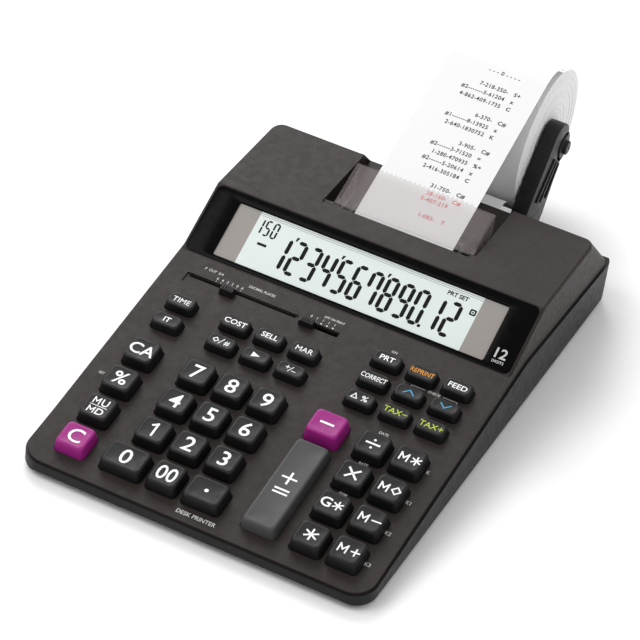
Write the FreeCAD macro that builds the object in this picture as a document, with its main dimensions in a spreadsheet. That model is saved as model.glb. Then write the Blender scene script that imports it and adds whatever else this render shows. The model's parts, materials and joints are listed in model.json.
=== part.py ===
"""Printing desk calculator: two-part case, sprung keys, display, printer, paper roll on its holder.

The origin is on the table under the middle of the whole outline. +X is to the user's right, +Y is
towards the back, +Z is up. Lengths are in millimetres. In the sheet, every size called *_y is counted
from the front edge of the case, and every size called *_z from the table.
"""
import FreeCAD, Part
import Sketcher
import math
import os
import re

V = FreeCAD.Vector
X_AXIS = V(1, 0, 0)

# Driving dimensions, by what they belong to.
DIMENSIONS = {
    # whole outline
    "overall_depth": 392, "case_width": 195, "wall": 2.2, "plan_corner": 13, "edge_round": 1.6,
    "running_gap": 0.35, "parting_gap": 0.6,
    # side view of the upper case
    "inset": 1.3, "deck_front_z": 10.3, "deck_angle": 9.53, "parting_front_z": 9.2,
    "display_foot_y": 163.3, "display_top_y": 201.1, "display_top_z": 59.1,
    "back_corner": 6, "back_prism_depth": 300,
    "rear_top_y": 270, "rear_top_z": 59.6, "rear_parting_y": 304, "rear_parting_z": 27.3,
    "parting_kink_y": 186, "parting_kink_z": 34.1,
    # side view of the lower case
    "base_z": 2, "base_edge_z": 4, "base_edge_inset": 2, "rear_wall_y": 311, "rear_shoulder_z": 15,
    "lip_height": 2.5, "lip_wall": 1.4, "lip_meet_y": 98, "lip_rear_inset": 5.8, "foot_radius": 6, "foot_inset_x": 80, "foot_front_y": 26,
    "foot_rear_y": 290, "floor": 1.8,
    # keys
    "key_pitch_x": 20, "key_pitch_y": 22, "key_first_x": -42.8, "key_first_y": 19.5,
    "left_column_x": -74.6, "right_column_x": 57, "plus_column_x": 31.3, "small_first_y": 111,
    "small_pitch_y": 15.2, "key_width": 17.2, "key_depth": 17.2, "key_height": 6.2,
    "small_width": 16.6, "small_depth": 10.2, "small_height": 4.8, "key_corner": 2.4,
    "key_round": 0.9, "key_taper": 9, "key_flange": 0.8, "key_flange_rim": 0.9, "key_travel": 2.5,
    "plus_depth": 62, "plus_centre_y": 42, "plus_width": 19.4, "zero_width": 23.6,
    "zero_x": -46, "point_width": 21.4, "point_x": -0.7, "minus_depth": 18, "minus_height": 7.4,
    # keyboard inside
    "mat_thickness": 0.8, "board_thickness": 1.2, "board_width": 178, "board_front_y": 10,
    "board_length": 140,
    # slide switches
    "rounding_slot_x": -51.3, "rounding_slot_y": 149, "rounding_slot_length": 63,
    "rounding_slot_width": 1.5, "rounding_rest_x": -59, "mode_slot_x": -5.6, "mode_slot_y": 147.6,
    "mode_slot_length": 22.8, "mode_slot_width": 3.8, "mode_rest_x": -12.2, "switch_knob_y": 147,
    "switch_knob_length": 8.5, "switch_knob_depth": 5.6, "switch_knob_height": 2.8,
    "trough_length": 66, "trough_depth": 7.4, "trough_y": 146.6, "trough_sink": 0.8,
    # display
    "window_width": 189, "window_length": 41.6, "window_thickness": 1.6, "window_corner": 3.5,
    "lcd_width": 166, "lcd_length": 33, "lcd_thickness": 3, "lcd_shift": -1.4,
    # paper path
    "paper_centre_x": 5.2, "paper_width": 58, "paper_thickness": 0.4, "strip_angle": 22.7,
    "strip_start_y": 222.5, "strip_start_z": 57.7, "strip_length": 116, "strip_curl": 26,
    "strip_end_angle": 46, "web_end_angle": 232,
    "web_bend": 8, "web_bend_y": 293,
    # well in the rear deck and the clear cover over the printer
    "well_front_y": 218, "well_left_x": -42, "well_right_x": 47.5, "well_floor_z": 50,
    "well_skin": 2.4, "printer_hole_front_y": 211, "printer_hole_rear_y": 246,
    "printer_hole_width": 70, "cover_width": 82, "cover_length": 28, "cover_thickness": 1.4,
    "cover_lift": 1.6, "cover_cheek": 1.6, "tear_tooth": 1.4, "cover_pin_radius": 1,
    "cover_pin_clearance": 0.06, "web_slot_height": 3.6,
    # printer
    "platen_radius": 6, "platen_length": 60, "platen_shaft_radius": 1.5, "shaft_clearance": 0.06,
    "cheek_thickness": 2, "cheek_height": 22, "cheek_depth": 23, "motor_radius": 8,
    "motor_length": 22, "motor_drop": 7, "ink_roller_radius": 4,
    # paper roll and its holder
    "roll_y": 350, "roll_z": 55, "roll_radius": 42, "core_radius": 6.4, "stub_radius": 6,
    "stub_length": 12, "arm_gap": 0.8, "arm_thickness": 9, "arm_tip_y": 343, "arm_tip_z": 60.5,
    "arm_tip_radius": 12, "arm_chin_y": 303.8, "arm_chin_z": 31, "arm_heel_y": 334,
    "arm_heel_z": 18, "arm_sole_y": 323, "axle_boss_radius": 9, "knob_radius": 4.5,
    "knob_length": 4.5, "crossbar_depth": 5, "crossbar_height": 14, "crossbar_z": 6,
    "tab_width": 10, "tab_height": 3, "tab_spread": 44,
    # battery cover and screws
    "battery_width": 62, "battery_length": 60, "battery_front_y": 225, "battery_slide": 8,
    "battery_thickness": 0.9, "screw_x": 86, "screw_front_y": 156, "screw_rear_y": 262,
    "screw_radius": 1.45, "screw_head_radius": 2.8, "screw_head": 2, "boss_radius": 4,
    "boss_meet_z": 12.5, "boss_front_top_z": 35.2, "boss_rear_top_z": 58.4,
    "pilot_clearance": 0.05,
}

doc = FreeCAD.newDocument("desk_calculator")
sheet = doc.addObject("Spreadsheet::Sheet", "Dims")
for row, (alias, number) in enumerate(DIMENSIONS.items(), start=1):
    sheet.set(f"A{row}", alias.replace("_", " "))
    sheet.set(f"B{row}", str(number))
    sheet.setAlias(f"B{row}", alias)
doc.recompute()

NODES = {}  # node name: the object whose shape is written


# ---------------------------------------------------------------- helpers

def dim(alias):
    """The sheet's value of one driving dimension."""
    return float(getattr(sheet, alias))


def expression(text):
    """Turn bare alias names into references to the sheet."""
    return re.sub(r"[a-z]\w*", lambda m: "Dims." + m[0] if m[0] in DIMENSIONS else m[0], text)


def bind(obj, **properties):
    """Bind properties to expressions; a double underscore stands for a dot."""
    for name, text in properties.items():
        obj.setExpression(name.replace("__", "."), expression(str(text)))
    return obj


def from_front(text):
    """A Y counted from the case's front edge, as a Y from the origin."""
    return f"({text}) - overall_depth / 2"


def place(obj, x="0", y="0", z="0", angle=None, axis=X_AXIS):
    """Bind where an object stands, with Y counted from the front edge."""
    if angle is not None:
        obj.Placement = FreeCAD.Placement(V(), FreeCAD.Rotation(axis, 1))
        bind(obj, Placement__Rotation__Angle=angle)
    return bind(obj, Placement__Base__x=x, Placement__Base__y=from_front(y), Placement__Base__z=z)


def deck_z(y):
    """Height of the key deck at a Y from the front edge."""
    return f"deck_front_z + ({y}) * tan(deck_angle)"


DISPLAY_FOOT_Z = "(" + deck_z("display_foot_y") + ")"
PANEL_ANGLE = f"atan((display_top_z - {DISPLAY_FOOT_Z}) / (display_top_y - display_foot_y))"


def origin_plane(body, role):
    return next(f for f in body.Origin.OriginFeatures if f.Role == role)


def attached_sketch(body, label, role, offset=None):
    sketch = body.newObject("Sketcher::SketchObject", label)
    sketch.AttachmentSupport = [(origin_plane(body, role), "")]
    sketch.MapMode = "FlatFace"
    if offset is not None:
        bind(sketch, AttachmentOffset__Base__z=offset)
    return sketch


def polygon_sketch(body, label, role, corners):
    """A closed outline whose corners are pairs of expressions."""
    sketch = attached_sketch(body, label, role)
    count = len(corners)
    ring = [V(50 * math.cos(2 * math.pi * i / count), 50 * math.sin(2 * math.pi * i / count), 0)
            for i in range(count)]
    for i in range(count):
        sketch.addGeometry(Part.LineSegment(ring[i], ring[(i + 1) % count]), False)
    for i in range(count):
        sketch.addConstraint(Sketcher.Constraint("Coincident", i, 2, (i + 1) % count, 1))
    for i, (across, up) in enumerate(corners):
        for kind, text in (("DistanceX", across), ("DistanceY", up)):
            index = sketch.addConstraint(Sketcher.Constraint(kind, -1, 1, i, 1, 10.0 + i))
            bind(sketch, **{f"Constraints[{index}]": text})
    return sketch


def rounded_sketch(body, label, width, depth, radius, offset):
    """A rectangle with round corners about the body's Z axis."""
    sketch = attached_sketch(body, label, "XY_Plane", offset)
    half, r = 10.0, 2.0
    inner = half - r
    lines = [(V(-inner, -half, 0), V(inner, -half, 0)), (V(half, -inner, 0), V(half, inner, 0)),
             (V(inner, half, 0), V(-inner, half, 0)), (V(-half, inner, 0), V(-half, -inner, 0))]
    centres = [V(inner, -inner, 0), V(inner, inner, 0), V(-inner, inner, 0), V(-inner, -inner, 0)]
    for i in range(4):
        sketch.addGeometry(Part.LineSegment(*lines[i]), False)
        circle = Part.Circle(centres[i], V(0, 0, 1), r)
        start = math.radians(-90 + 90 * i)
        sketch.addGeometry(Part.ArcOfCircle(circle, start, start + math.pi / 2), False)
    for i in range(4):
        line, arc, following = 2 * i, 2 * i + 1, (2 * i + 2) % 8
        sketch.addConstraint(Sketcher.Constraint("Tangent", line, 2, arc, 1))
        sketch.addConstraint(Sketcher.Constraint("Tangent", arc, 2, following, 1))
        sketch.addConstraint(Sketcher.Constraint("Vertical" if i % 2 else "Horizontal", line))
    for arc in (3, 5, 7):
        sketch.addConstraint(Sketcher.Constraint("Equal", 1, arc))
    sketch.addConstraint(Sketcher.Constraint("Symmetric", 0, 1, 4, 1, -1, 1))
    sizes = (("Radius", (1,), r, radius), ("DistanceX", (6, 1, 2, 1), 2 * half, width),
             ("DistanceY", (0, 1, 4, 1), 2 * half, depth))
    for kind, where, start, text in sizes:
        index = sketch.addConstraint(Sketcher.Constraint(kind, *where, start))
        bind(sketch, **{f"Constraints[{index}]": text})
    return sketch


def new_body(label):
    body = doc.addObject("PartDesign::Body", label)
    body.Label = label
    return body


def add_pad(body, sketch, length, symmetric=False, taper=None):
    pad = body.newObject("PartDesign::Pad", sketch.Label + "_pad")
    pad.Profile = sketch
    if symmetric:
        pad.SideType = "Symmetric"
    bind(pad, Length=length)
    if taper is not None:
        bind(pad, TaperAngle=taper)
    return pad


def side_profile(label, corners, width, x="0"):
    """A solid whose side view is given, with Y from the front edge, centred on x."""
    body = new_body(label)
    shifted = [(from_front(y), z) for y, z in corners]
    sketch = polygon_sketch(body, label + "_side", "YZ_Plane", shifted)
    add_pad(body, sketch, width, symmetric=True)
    bind(body, Placement__Base__x=x)
    return body


def plate(label, width, depth, radius, start, length, taper=None):
    """A flat piece with round corners, from start upwards along its own Z."""
    body = new_body(label)
    sketch = rounded_sketch(body, label + "_plan", width, depth, radius, start)
    add_pad(body, sketch, length, taper=taper)
    return body


def box(label, x, y, z, length, width, height):
    """A box given by its lowest corner, with Y from the front edge."""
    obj = doc.addObject("Part::Box", label)
    bind(obj, Length=length, Width=width, Height=height)
    return place(obj, x, y, z)


def rod(label, x, y, z, radius, length):
    """A cylinder along +X from the given point, with Y from the front edge."""
    obj = doc.addObject("Part::Cylinder", label)
    bind(obj, Radius=radius, Height=length)
    return place(obj, x, y, z, "90", V(0, 1, 0))


def post(label, x, y, z, radius, height):
    """An upright cylinder from the given point, with Y from the front edge."""
    obj = doc.addObject("Part::Cylinder", label)
    bind(obj, Radius=radius, Height=height)
    return place(obj, x, y, z)


def fuse(label, shapes):
    obj = doc.addObject("Part::MultiFuse", label)
    obj.Shapes = shapes
    return obj


def common(label, base, tool):
    obj = doc.addObject("Part::Common", label)
    obj.Base, obj.Tool = base, tool
    return obj


def cut(label, base, tools):
    """Take every tool away from the base."""
    obj = doc.addObject("Part::Cut", label)
    obj.Base = base
    obj.Tool = tools[0] if len(tools) == 1 else fuse(label + "_tools", tools)
    return obj


def group(label, shapes):
    """Several loose solids in one node."""
    obj = doc.addObject("Part::Compound", label)
    obj.Links = shapes
    return obj


def round_edges(label, base, radius, wanted):
    """Round the edges of a base that the test picks."""
    doc.recompute()
    obj = doc.addObject("Part::Fillet", label)
    obj.Base = base
    obj.Edges = [(n, radius, radius) for n, e in enumerate(base.Shape.Edges, start=1) if wanted(e)]
    return obj


def node(name, obj):
    obj.Label = name
    NODES[name] = obj
    return obj


# ---------------------------------------------------------------- case

def plan_prism(label, inset):
    """An upright prism with the case's plan outline, drawn in by inset."""
    body = plate(label, f"case_width - 2 * ({inset})", f"rear_wall_y - 2 * ({inset})",
                 f"plan_corner - ({inset})", "0 - 5", "100")
    place(body, y="rear_wall_y / 2")
    return body


BACK_LEAN = "atan((rear_parting_y - rear_top_y) / (rear_top_z - rear_parting_z))"


def back_prism(label):
    """A prism lying along the sloping back, which rounds the two corners beside it."""
    body = plate(label, "case_width - 2 * inset", "back_prism_depth", "back_corner", "0 - 90",
                 "270")
    return place(body, y=f"rear_top_y - back_prism_depth / 2 * cos({BACK_LEAN})",
                 z=f"rear_top_z - back_prism_depth / 2 * sin({BACK_LEAN})", angle=BACK_LEAN)


UPPER_TOP = [("inset", "deck_front_z"), ("display_foot_y", DISPLAY_FOOT_Z),
             ("display_top_y", "display_top_z"), ("rear_top_y", "rear_top_z"),
             ("rear_parting_y", "rear_parting_z")]
PARTING = [("parting_kink_y", "parting_kink_z"), ("inset", "parting_front_z")]


def upper_outer():
    block = side_profile("upper_block", UPPER_TOP + PARTING, "case_width + 10")
    upright = common("upper_upright", block, plan_prism("upper_plan", "inset"))
    trimmed = common("upper_trimmed", upright, back_prism("upper_back"))

    def outer_top_edge(edge):
        low, high = edge.BoundBox.ZMin, edge.BoundBox.ZMax
        y = edge.CenterOfMass.y + dim("overall_depth") / 2
        kink_z, front_z = dim("parting_kink_z"), dim("parting_front_z")
        run = min(y, dim("parting_kink_y")) / dim("parting_kink_y")
        above_parting = low > front_z + (kink_z - front_z) * run + 0.6 or low > kink_z + 1
        across = edge.BoundBox.XLength > 100
        at_rear_top = abs(y - dim("rear_top_y")) < 1
        sloping = across and abs(high - low) < 0.01 and not at_rear_top
        on_back = y > dim("rear_top_y") + 1
        return above_parting and not sloping and not on_back and edge.Length > 1
    return round_edges("upper_rounded", trimmed, dim("edge_round"), outer_top_edge)


def cavity(label, wall_text):
    """The room inside the upper case, open towards the table."""
    under_deck = f"{wall_text} / cos(deck_angle)"
    corners = [("wall + inset", "0 - 20"),
               ("wall + inset", f"{deck_z('(wall + inset)')} - {under_deck}"),
               ("display_foot_y", f"{DISPLAY_FOOT_Z} - {under_deck}"),
               ("display_top_y", f"display_top_z - {wall_text}"),
               ("rear_top_y - wall / 2", f"rear_top_z - {wall_text}"),
               ("rear_parting_y - 1.5 * wall", "rear_parting_z"),
               ("rear_parting_y - 1.5 * wall", "0 - 20")]
    block = side_profile(label + "_block", corners, "case_width + 10")
    return common(label, block, plan_prism(label + "_plan", "inset + wall"))


def on_deck(obj, x, y):
    """Stand an object on the key deck."""
    return place(obj, x, y, deck_z(y), "deck_angle")


def on_panel(obj, along):
    """Stand an object on the display panel, at a distance up the panel from its middle."""
    middle_y = f"(display_foot_y + display_top_y) / 2 + ({along}) * cos({PANEL_ANGLE})"
    middle_z = f"({DISPLAY_FOOT_Z} + display_top_z) / 2 + ({along}) * sin({PANEL_ANGLE})"
    return place(obj, "0", middle_y, middle_z, PANEL_ANGLE)


# ---------------------------------------------------------------- keys

def digit_x(column):
    return f"key_first_x + {column} * key_pitch_x"


def right_x(column):
    return f"right_column_x + {column} * key_pitch_x"


def row_y(row):
    return f"key_first_y + {row} * key_pitch_y"


def small_y(row):
    return f"small_first_y + {row} * small_pitch_y"


def key_table():
    """Every key: name, x, y, width, depth, height."""
    keys = []

    def big(name, x, y, width="key_width", depth="key_depth", height="key_height"):
        keys.append((name, x, y, width, depth, height))

    def small(name, x, y):
        keys.append((name, x, y, "small_width", "small_depth", "small_height"))

    for digit in range(1, 10):
        big(f"key_{digit}", digit_x((digit - 1) % 3), row_y(1 + (digit - 1) // 3))
    big("key_0", "zero_x", row_y(0), width="zero_width")
    big("key_00", digit_x(1), row_y(0))
    big("key_point", "point_x", row_y(0), width="point_width")
    for row, name in enumerate(("clear", "mark_up", "percent", "clear_all")):
        big(f"key_{name}", "left_column_x", row_y(row))
    big("key_minus", "plus_column_x", row_y(3), "plus_width", "minus_depth", "minus_height")
    big("key_plus_equals", "plus_column_x", "plus_centre_y", "plus_width", "plus_depth")
    for row, name in enumerate(("total", "grand_total", "multiply", "divide")):
        big(f"key_{name}", right_x(0), row_y(row))
    for row, name in enumerate(("memory_plus", "memory_minus", "memory_subtotal", "memory_total")):
        big(f"key_{name}", right_x(1), row_y(row))
    for row, name in enumerate(("item_count", "time")):
        small(f"key_{name}", "left_column_x", small_y(row))
    small_left = (("non_add", "backspace", "sign"), ("cost", "sell", "margin"))
    for row, names in enumerate(small_left):
        for column, name in enumerate(names):
            small(f"key_{name}", digit_x(column), small_y(row))
    small_right = (("change_percent", "tax_minus", "tax_plus"), ("correct", "check_up", "check_down"),
                   ("print", "reprint", "feed"))
    for row, names in enumerate(small_right):
        for column, name in enumerate(names):
            small(f"key_{name}", right_x(column - 1), small_y(row))
    return keys


KEYS = key_table()


def make_key(name, x, y, width, depth, height):
    """A cap with sloping sides over a skirt that runs in its hole, and a flange that keeps it in."""
    body = new_body(name)
    cap_sketch = rounded_sketch(body, name + "_cap", width, depth, "key_corner", "0")
    cap = add_pad(body, cap_sketch, height, taper="0 - key_taper")
    doc.recompute()
    top = max(range(len(cap.Shape.Faces)), key=lambda i: cap.Shape.Faces[i].CenterOfMass.z)
    crown = body.newObject("PartDesign::Fillet", name + "_crown")
    crown.Base = (cap, [f"Face{top + 1}"])
    bind(crown, Radius="key_round")
    skirt = rounded_sketch(body, name + "_skirt", width, depth, "key_corner",
                           "0 - wall - key_flange")
    add_pad(body, skirt, "wall + key_flange")
    flange = rounded_sketch(body, name + "_flange", f"{width} + 2 * key_flange_rim",
                            f"{depth} + 2 * key_flange_rim", "key_corner",
                            "0 - wall - key_flange - running_gap / 2")
    add_pad(body, flange, "key_flange")
    on_deck(body, x, y)
    return node(name, body)


def key_hole(name, x, y, width, depth):
    hole = plate(name + "_hole", f"{width} + 2 * running_gap", f"{depth} + 2 * running_gap",
                 "key_corner + running_gap", "0 - 8", "20")
    return on_deck(hole, x, y)


def make_keyboard():
    for name, x, y, width, depth, height in KEYS:
        make_key(name, x, y, width, depth, height)
    mat_top = "wall + key_flange + key_travel + running_gap"
    length = "board_length"
    mat = plate("key_mat", "board_width - 4", length, "2", f"0 - ({mat_top}) - mat_thickness",
                "mat_thickness")
    node("key_mat", on_deck(mat, "0", "board_front_y + board_length / 2"))
    board = plate("circuit_board", "board_width", length, "2",
                  f"0 - ({mat_top}) - mat_thickness - board_thickness - 0.05", "board_thickness")
    node("circuit_board", on_deck(board, "0", "board_front_y + board_length / 2"))


# ---------------------------------------------------------------- slide switches

def make_switch(name, label, sink="0"):
    """A knob above the deck, or sunk in its trough, on a neck that runs along the slot."""
    gap = "running_gap"
    x = f"{label}_rest_x"
    foot = plate(name + "_foot", "switch_knob_length + 1.6", "switch_knob_depth + 0.4", "0.5",
                 f"0 - wall - {gap} - 1.2", "1.2")
    neck = plate(name + "_neck", "switch_knob_length - 1", f"{label}_slot_width - 2 * {gap}", "0.3",
                 f"0 - wall - {gap} - 1", f"wall + 2 * {gap} + 1.2")
    knob = plate(name + "_knob", "switch_knob_length", "switch_knob_depth", "0.8",
                 f"{gap} - {sink}", f"switch_knob_height + {sink}", taper="0 - 12")
    on_deck(foot, x, f"{label}_slot_y")
    on_deck(neck, x, f"{label}_slot_y")
    on_deck(knob, x, "switch_knob_y")
    return node(name, fuse(name, [foot, neck, knob]))


def switch_slot(label):
    slot = plate(f"{label}_slot", f"{label}_slot_length", f"{label}_slot_width", "0.5", "0 - 8",
                 "20")
    return on_deck(slot, f"{label}_slot_x", f"{label}_slot_y")


# ---------------------------------------------------------------- display

def make_display():
    window = plate("display_window", "window_width", "window_length", "window_corner",
                   "0 - window_thickness", "window_thickness")
    node("display_window", on_panel(window, "0"))
    lcd = plate("lcd_panel", "lcd_width", "lcd_length", "1",
                "0 - window_thickness - lcd_thickness - running_gap", "lcd_thickness")
    node("lcd_panel", on_panel(lcd, "lcd_shift"))


def display_cutters():
    gap = "running_gap / 2"
    seat = plate("window_seat", f"window_width + {gap}", f"window_length + {gap}",
                 f"window_corner + {gap} / 2", "0 - window_thickness - 0.05", "20")
    opening = plate("lcd_opening", "lcd_width + running_gap * 2", "lcd_length + running_gap * 2",
                    "1.5", "0 - 8", "20")
    return [on_panel(seat, "0"), on_panel(opening, "lcd_shift")]


# ---------------------------------------------------------------- paper

STRIP_START = V(0, dim("strip_start_y") - dim("overall_depth") / 2, dim("strip_start_z"))
STRIP_TILT = math.radians(dim("strip_angle"))
STRIP_ALONG = V(0, math.cos(STRIP_TILT), math.sin(STRIP_TILT))
STRIP_NORMAL = V(0, -math.sin(STRIP_TILT), math.cos(STRIP_TILT))
WRAP_RADIUS = dim("platen_radius") + dim("running_gap") + dim("paper_thickness") / 2
PLATEN_CENTRE = STRIP_START - STRIP_NORMAL * WRAP_RADIUS
ROLL_CENTRE = V(0, dim("roll_y") - dim("overall_depth") / 2, dim("roll_z"))


def around(centre, radius, degrees):
    angle = math.radians(degrees)
    return centre + V(0, radius * math.cos(angle), radius * math.sin(angle))


def arc(centre, radius, start, end):
    """An arc in the side view, by its angles from +Y."""
    points = [around(centre, radius, start + (end - start) * part) for part in (0, 0.5, 1)]
    return Part.Arc(*points).toShape()


def paper_path():
    """The paper's middle line, from its free end above the roll to where it leaves the roll."""
    strip_top = STRIP_START + STRIP_ALONG * dim("strip_length")
    curl_centre = strip_top - STRIP_NORMAL * dim("strip_curl")
    curl = arc(curl_centre, dim("strip_curl"), dim("strip_end_angle"), 90 + dim("strip_angle"))
    strip = Part.makeLine(strip_top, STRIP_START)
    wrap = arc(PLATEN_CENTRE, WRAP_RADIUS, 90 + dim("strip_angle"), 270)
    below = around(PLATEN_CENTRE, WRAP_RADIUS, 270)
    bend_centre = V(0, dim("web_bend_y") - dim("overall_depth") / 2, below.z - dim("web_bend"))
    web = Part.makeLine(below, around(bend_centre, dim("web_bend"), 90))
    bend = arc(bend_centre, dim("web_bend"), 90, 30)
    leave_radius = dim("roll_radius") + 2 * dim("running_gap") + dim("paper_thickness") / 2
    leave = around(ROLL_CENTRE, leave_radius, dim("web_end_angle"))
    drop = Part.makeLine(around(bend_centre, dim("web_bend"), 30), leave)
    return Part.Wire([curl, strip, wrap, web, bend, drop])


def make_paper():
    """The band is thin and curls over itself, which no pad describes, so it is an offset wire."""
    half = dim("paper_thickness") / 2
    path = paper_path()
    band = path.makeOffset2D(half, join=2, fill=True, openResult=True)
    band.translate(X_AXIS * (dim("paper_centre_x") - dim("paper_width") / 2))
    strip = doc.addObject("Part::Feature", "paper_strip")
    strip.Shape = band.extrude(X_AXIS * dim("paper_width"))
    node("paper_strip", strip)


# ---------------------------------------------------------------- printer

PLATEN_Y = "strip_start_y + sin(strip_angle) * (platen_radius + running_gap + paper_thickness / 2)"
PLATEN_Z = "strip_start_z - cos(strip_angle) * (platen_radius + running_gap + paper_thickness / 2)"


def make_printer():
    left = "paper_centre_x - platen_length / 2"
    sleeve = rod("platen_sleeve", left, PLATEN_Y, PLATEN_Z, "platen_radius", "platen_length")
    reach = "cheek_thickness + 2"
    shaft = rod("platen_shaft", f"{left} - ({reach})", PLATEN_Y, PLATEN_Z, "platen_shaft_radius",
                f"platen_length + 2 * ({reach})")
    node("platen_roller", fuse("platen_roller", [sleeve, shaft]))

    cheek_y = f"{PLATEN_Y} - 4"
    cheek_z = f"{PLATEN_Z} + 4 - cheek_height"
    right = "paper_centre_x + platen_length / 2 + 1"
    cheeks = [box("left_cheek", f"{left} - 1 - cheek_thickness", cheek_y, cheek_z,
                  "cheek_thickness", "cheek_depth", "cheek_height"),
              box("right_cheek", right, cheek_y, cheek_z, "cheek_thickness", "cheek_depth",
                  "cheek_height")]
    base = box("printer_base", f"{left} - 1", cheek_y, cheek_z, "platen_length + 2", "cheek_depth",
               "2")
    bore = rod("shaft_bore", f"{left} - 20", PLATEN_Y, PLATEN_Z,
               "platen_shaft_radius + shaft_clearance", "platen_length + 40")
    frame = cut("printer_chassis", fuse("printer_plates", cheeks + [base]), [bore])
    motor = rod("print_motor", f"{left} + 2", f"{cheek_y} + cheek_depth + motor_radius + 1",
                f"{cheek_z} + motor_radius - motor_drop", "motor_radius", "motor_length")
    ink = rod("ink_roller", f"{left} + 8", f"{PLATEN_Y} - platen_radius - ink_roller_radius - 3",
              f"{PLATEN_Z} - 4", "ink_roller_radius", "platen_length - 16")
    node("printer_mechanism", group("printer_mechanism", [frame, motor, ink]))


COVER_PIN_Y = "strip_start_y - 1.6"
COVER_PIN_Z = "strip_start_z - 0.1"


def make_printer_cover():
    """A clear plate over the paper, hinged at its front edge, with a toothed edge to tear against."""
    start_y = "strip_start_y - 1.5 * cos(strip_angle) - cover_lift * sin(strip_angle)"
    start_z = "strip_start_z - 1.5 * sin(strip_angle) + cover_lift * cos(strip_angle)"
    left = "paper_centre_x - cover_width / 2"
    sheet_box = box("cover_sheet", left, start_y, start_z, "cover_width", "cover_length",
                    "cover_thickness")
    place(sheet_box, left, start_y, start_z, "strip_angle")
    cheeks = []
    for side, x in (("left", left), ("right", f"{left} + cover_width - cover_cheek")):
        cheek = side_profile(f"cover_{side}_cheek",
                             [(f"{start_y} + 4", f"{start_z} + 4 * tan(strip_angle) + 0.5"),
                              (f"{start_y} + (cover_length - 0.5) * cos(strip_angle)",
                               f"{start_z} + (cover_length - 0.5) * sin(strip_angle) + 0.5"),
                              (f"{start_y} + cover_length * cos(strip_angle) - 2",
                               "well_floor_z + 1"),
                              (f"{start_y} + 4", "well_floor_z + 1")],
                             "cover_cheek", f"{x} + cover_cheek / 2")
        cheeks.append(cheek)
    teeth = []
    count = int(dim("paper_width") / (2 * dim("tear_tooth")))
    for i in range(count):
        tooth = doc.addObject("Part::Wedge", f"tooth_{i}")
        bind(tooth, Xmin="0", Xmax="2 * tear_tooth", X2min="tear_tooth - 0.05",
             X2max="tear_tooth + 0.05", Ymin="0", Ymax="tear_tooth", Zmin="0",
             Zmax="cover_thickness", Z2min="0", Z2max="cover_thickness")
        place(tooth, f"paper_centre_x - {count} * tear_tooth + {2 * i} * tear_tooth",
              f"{start_y} + (cover_length - 0.01) * cos(strip_angle)",
              f"{start_z} + (cover_length - 0.01) * sin(strip_angle)", "strip_angle")
        teeth.append(tooth)
    pin_ends = (("left", "well_left_x - 1.6", f"{left} + 3"),
                ("right", f"{left} + cover_width - 3", "well_right_x + 1.6"))
    hinges = []
    for side, start, end in pin_ends:
        hinges.append(rod(f"{side}_cover_pin", start, COVER_PIN_Y, COVER_PIN_Z, "cover_pin_radius",
                          f"{end} - ({start})"))
        knuckle_x = left if side == "left" else f"{left} + cover_width - 3"
        hinges.append(box(f"{side}_knuckle", knuckle_x, f"{COVER_PIN_Y} - 0.8",
                          f"{COVER_PIN_Z} - 0.8", "3", "1.9", "2.2"))
    node("printer_cover", fuse("printer_cover", [sheet_box] + cheeks + teeth + hinges))


# ---------------------------------------------------------------- paper roll and its holder

ROLL_LEFT = "paper_centre_x - paper_width / 2"
ROLL_RIGHT = "paper_centre_x + paper_width / 2"


def make_roll():
    outer = rod("roll_outer", ROLL_LEFT, "roll_y", "roll_z", "roll_radius", "paper_width")
    bore = rod("roll_bore", f"{ROLL_LEFT} - 1", "roll_y", "roll_z", "core_radius",
               "paper_width + 2")
    node("paper_roll", cut("paper_roll", outer, [bore]))


def tangent_point(y, z, side):
    """Where a line from a point touches the arm's round tip, on its front (1) or rear (-1) side."""
    across = dim("arm_tip_y") - dim(y)
    rise = dim("arm_tip_z") - dim(z)
    reach = math.hypot(across, rise)
    angle = math.atan2(rise, across) + side * math.asin(dim("arm_tip_radius") / reach)
    length = math.sqrt(reach ** 2 - dim("arm_tip_radius") ** 2)
    return (str(dim(y) + length * math.cos(angle)), str(dim(z) + length * math.sin(angle)))


def make_arm(side, x, stub_x, knob_x):
    """One arm from behind the case up to the axle, with a stub inside and a knob outside."""
    outline = [("rear_wall_y + running_gap", "crossbar_z"),
               ("rear_wall_y + running_gap", "rear_shoulder_z + 0.5"),
               ("arm_chin_y + 1.6", "arm_chin_z - 2.4"), ("arm_chin_y", "arm_chin_z"),
               tangent_point("arm_chin_y", "arm_chin_z", 1),
               tangent_point("arm_heel_y", "arm_heel_z", -1),
               ("arm_heel_y", "arm_heel_z"), ("arm_sole_y", "crossbar_z")]
    leg = side_profile(f"{side}_arm_leg", outline, "arm_thickness", f"{x} + arm_thickness / 2")
    tip = rod(f"{side}_arm_tip", x, "arm_tip_y", "arm_tip_z", "arm_tip_radius", "arm_thickness")
    boss = rod(f"{side}_axle_boss", x, "roll_y", "roll_z", "axle_boss_radius", "arm_thickness")
    stub = rod(f"{side}_axle_stub", stub_x, "roll_y", "roll_z", "stub_radius",
               "stub_length + arm_gap")
    knob = rod(f"{side}_axle_knob", knob_x, "roll_y", "roll_z", "knob_radius", "knob_length + 1")
    return [leg, tip, boss, stub, knob]


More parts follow.
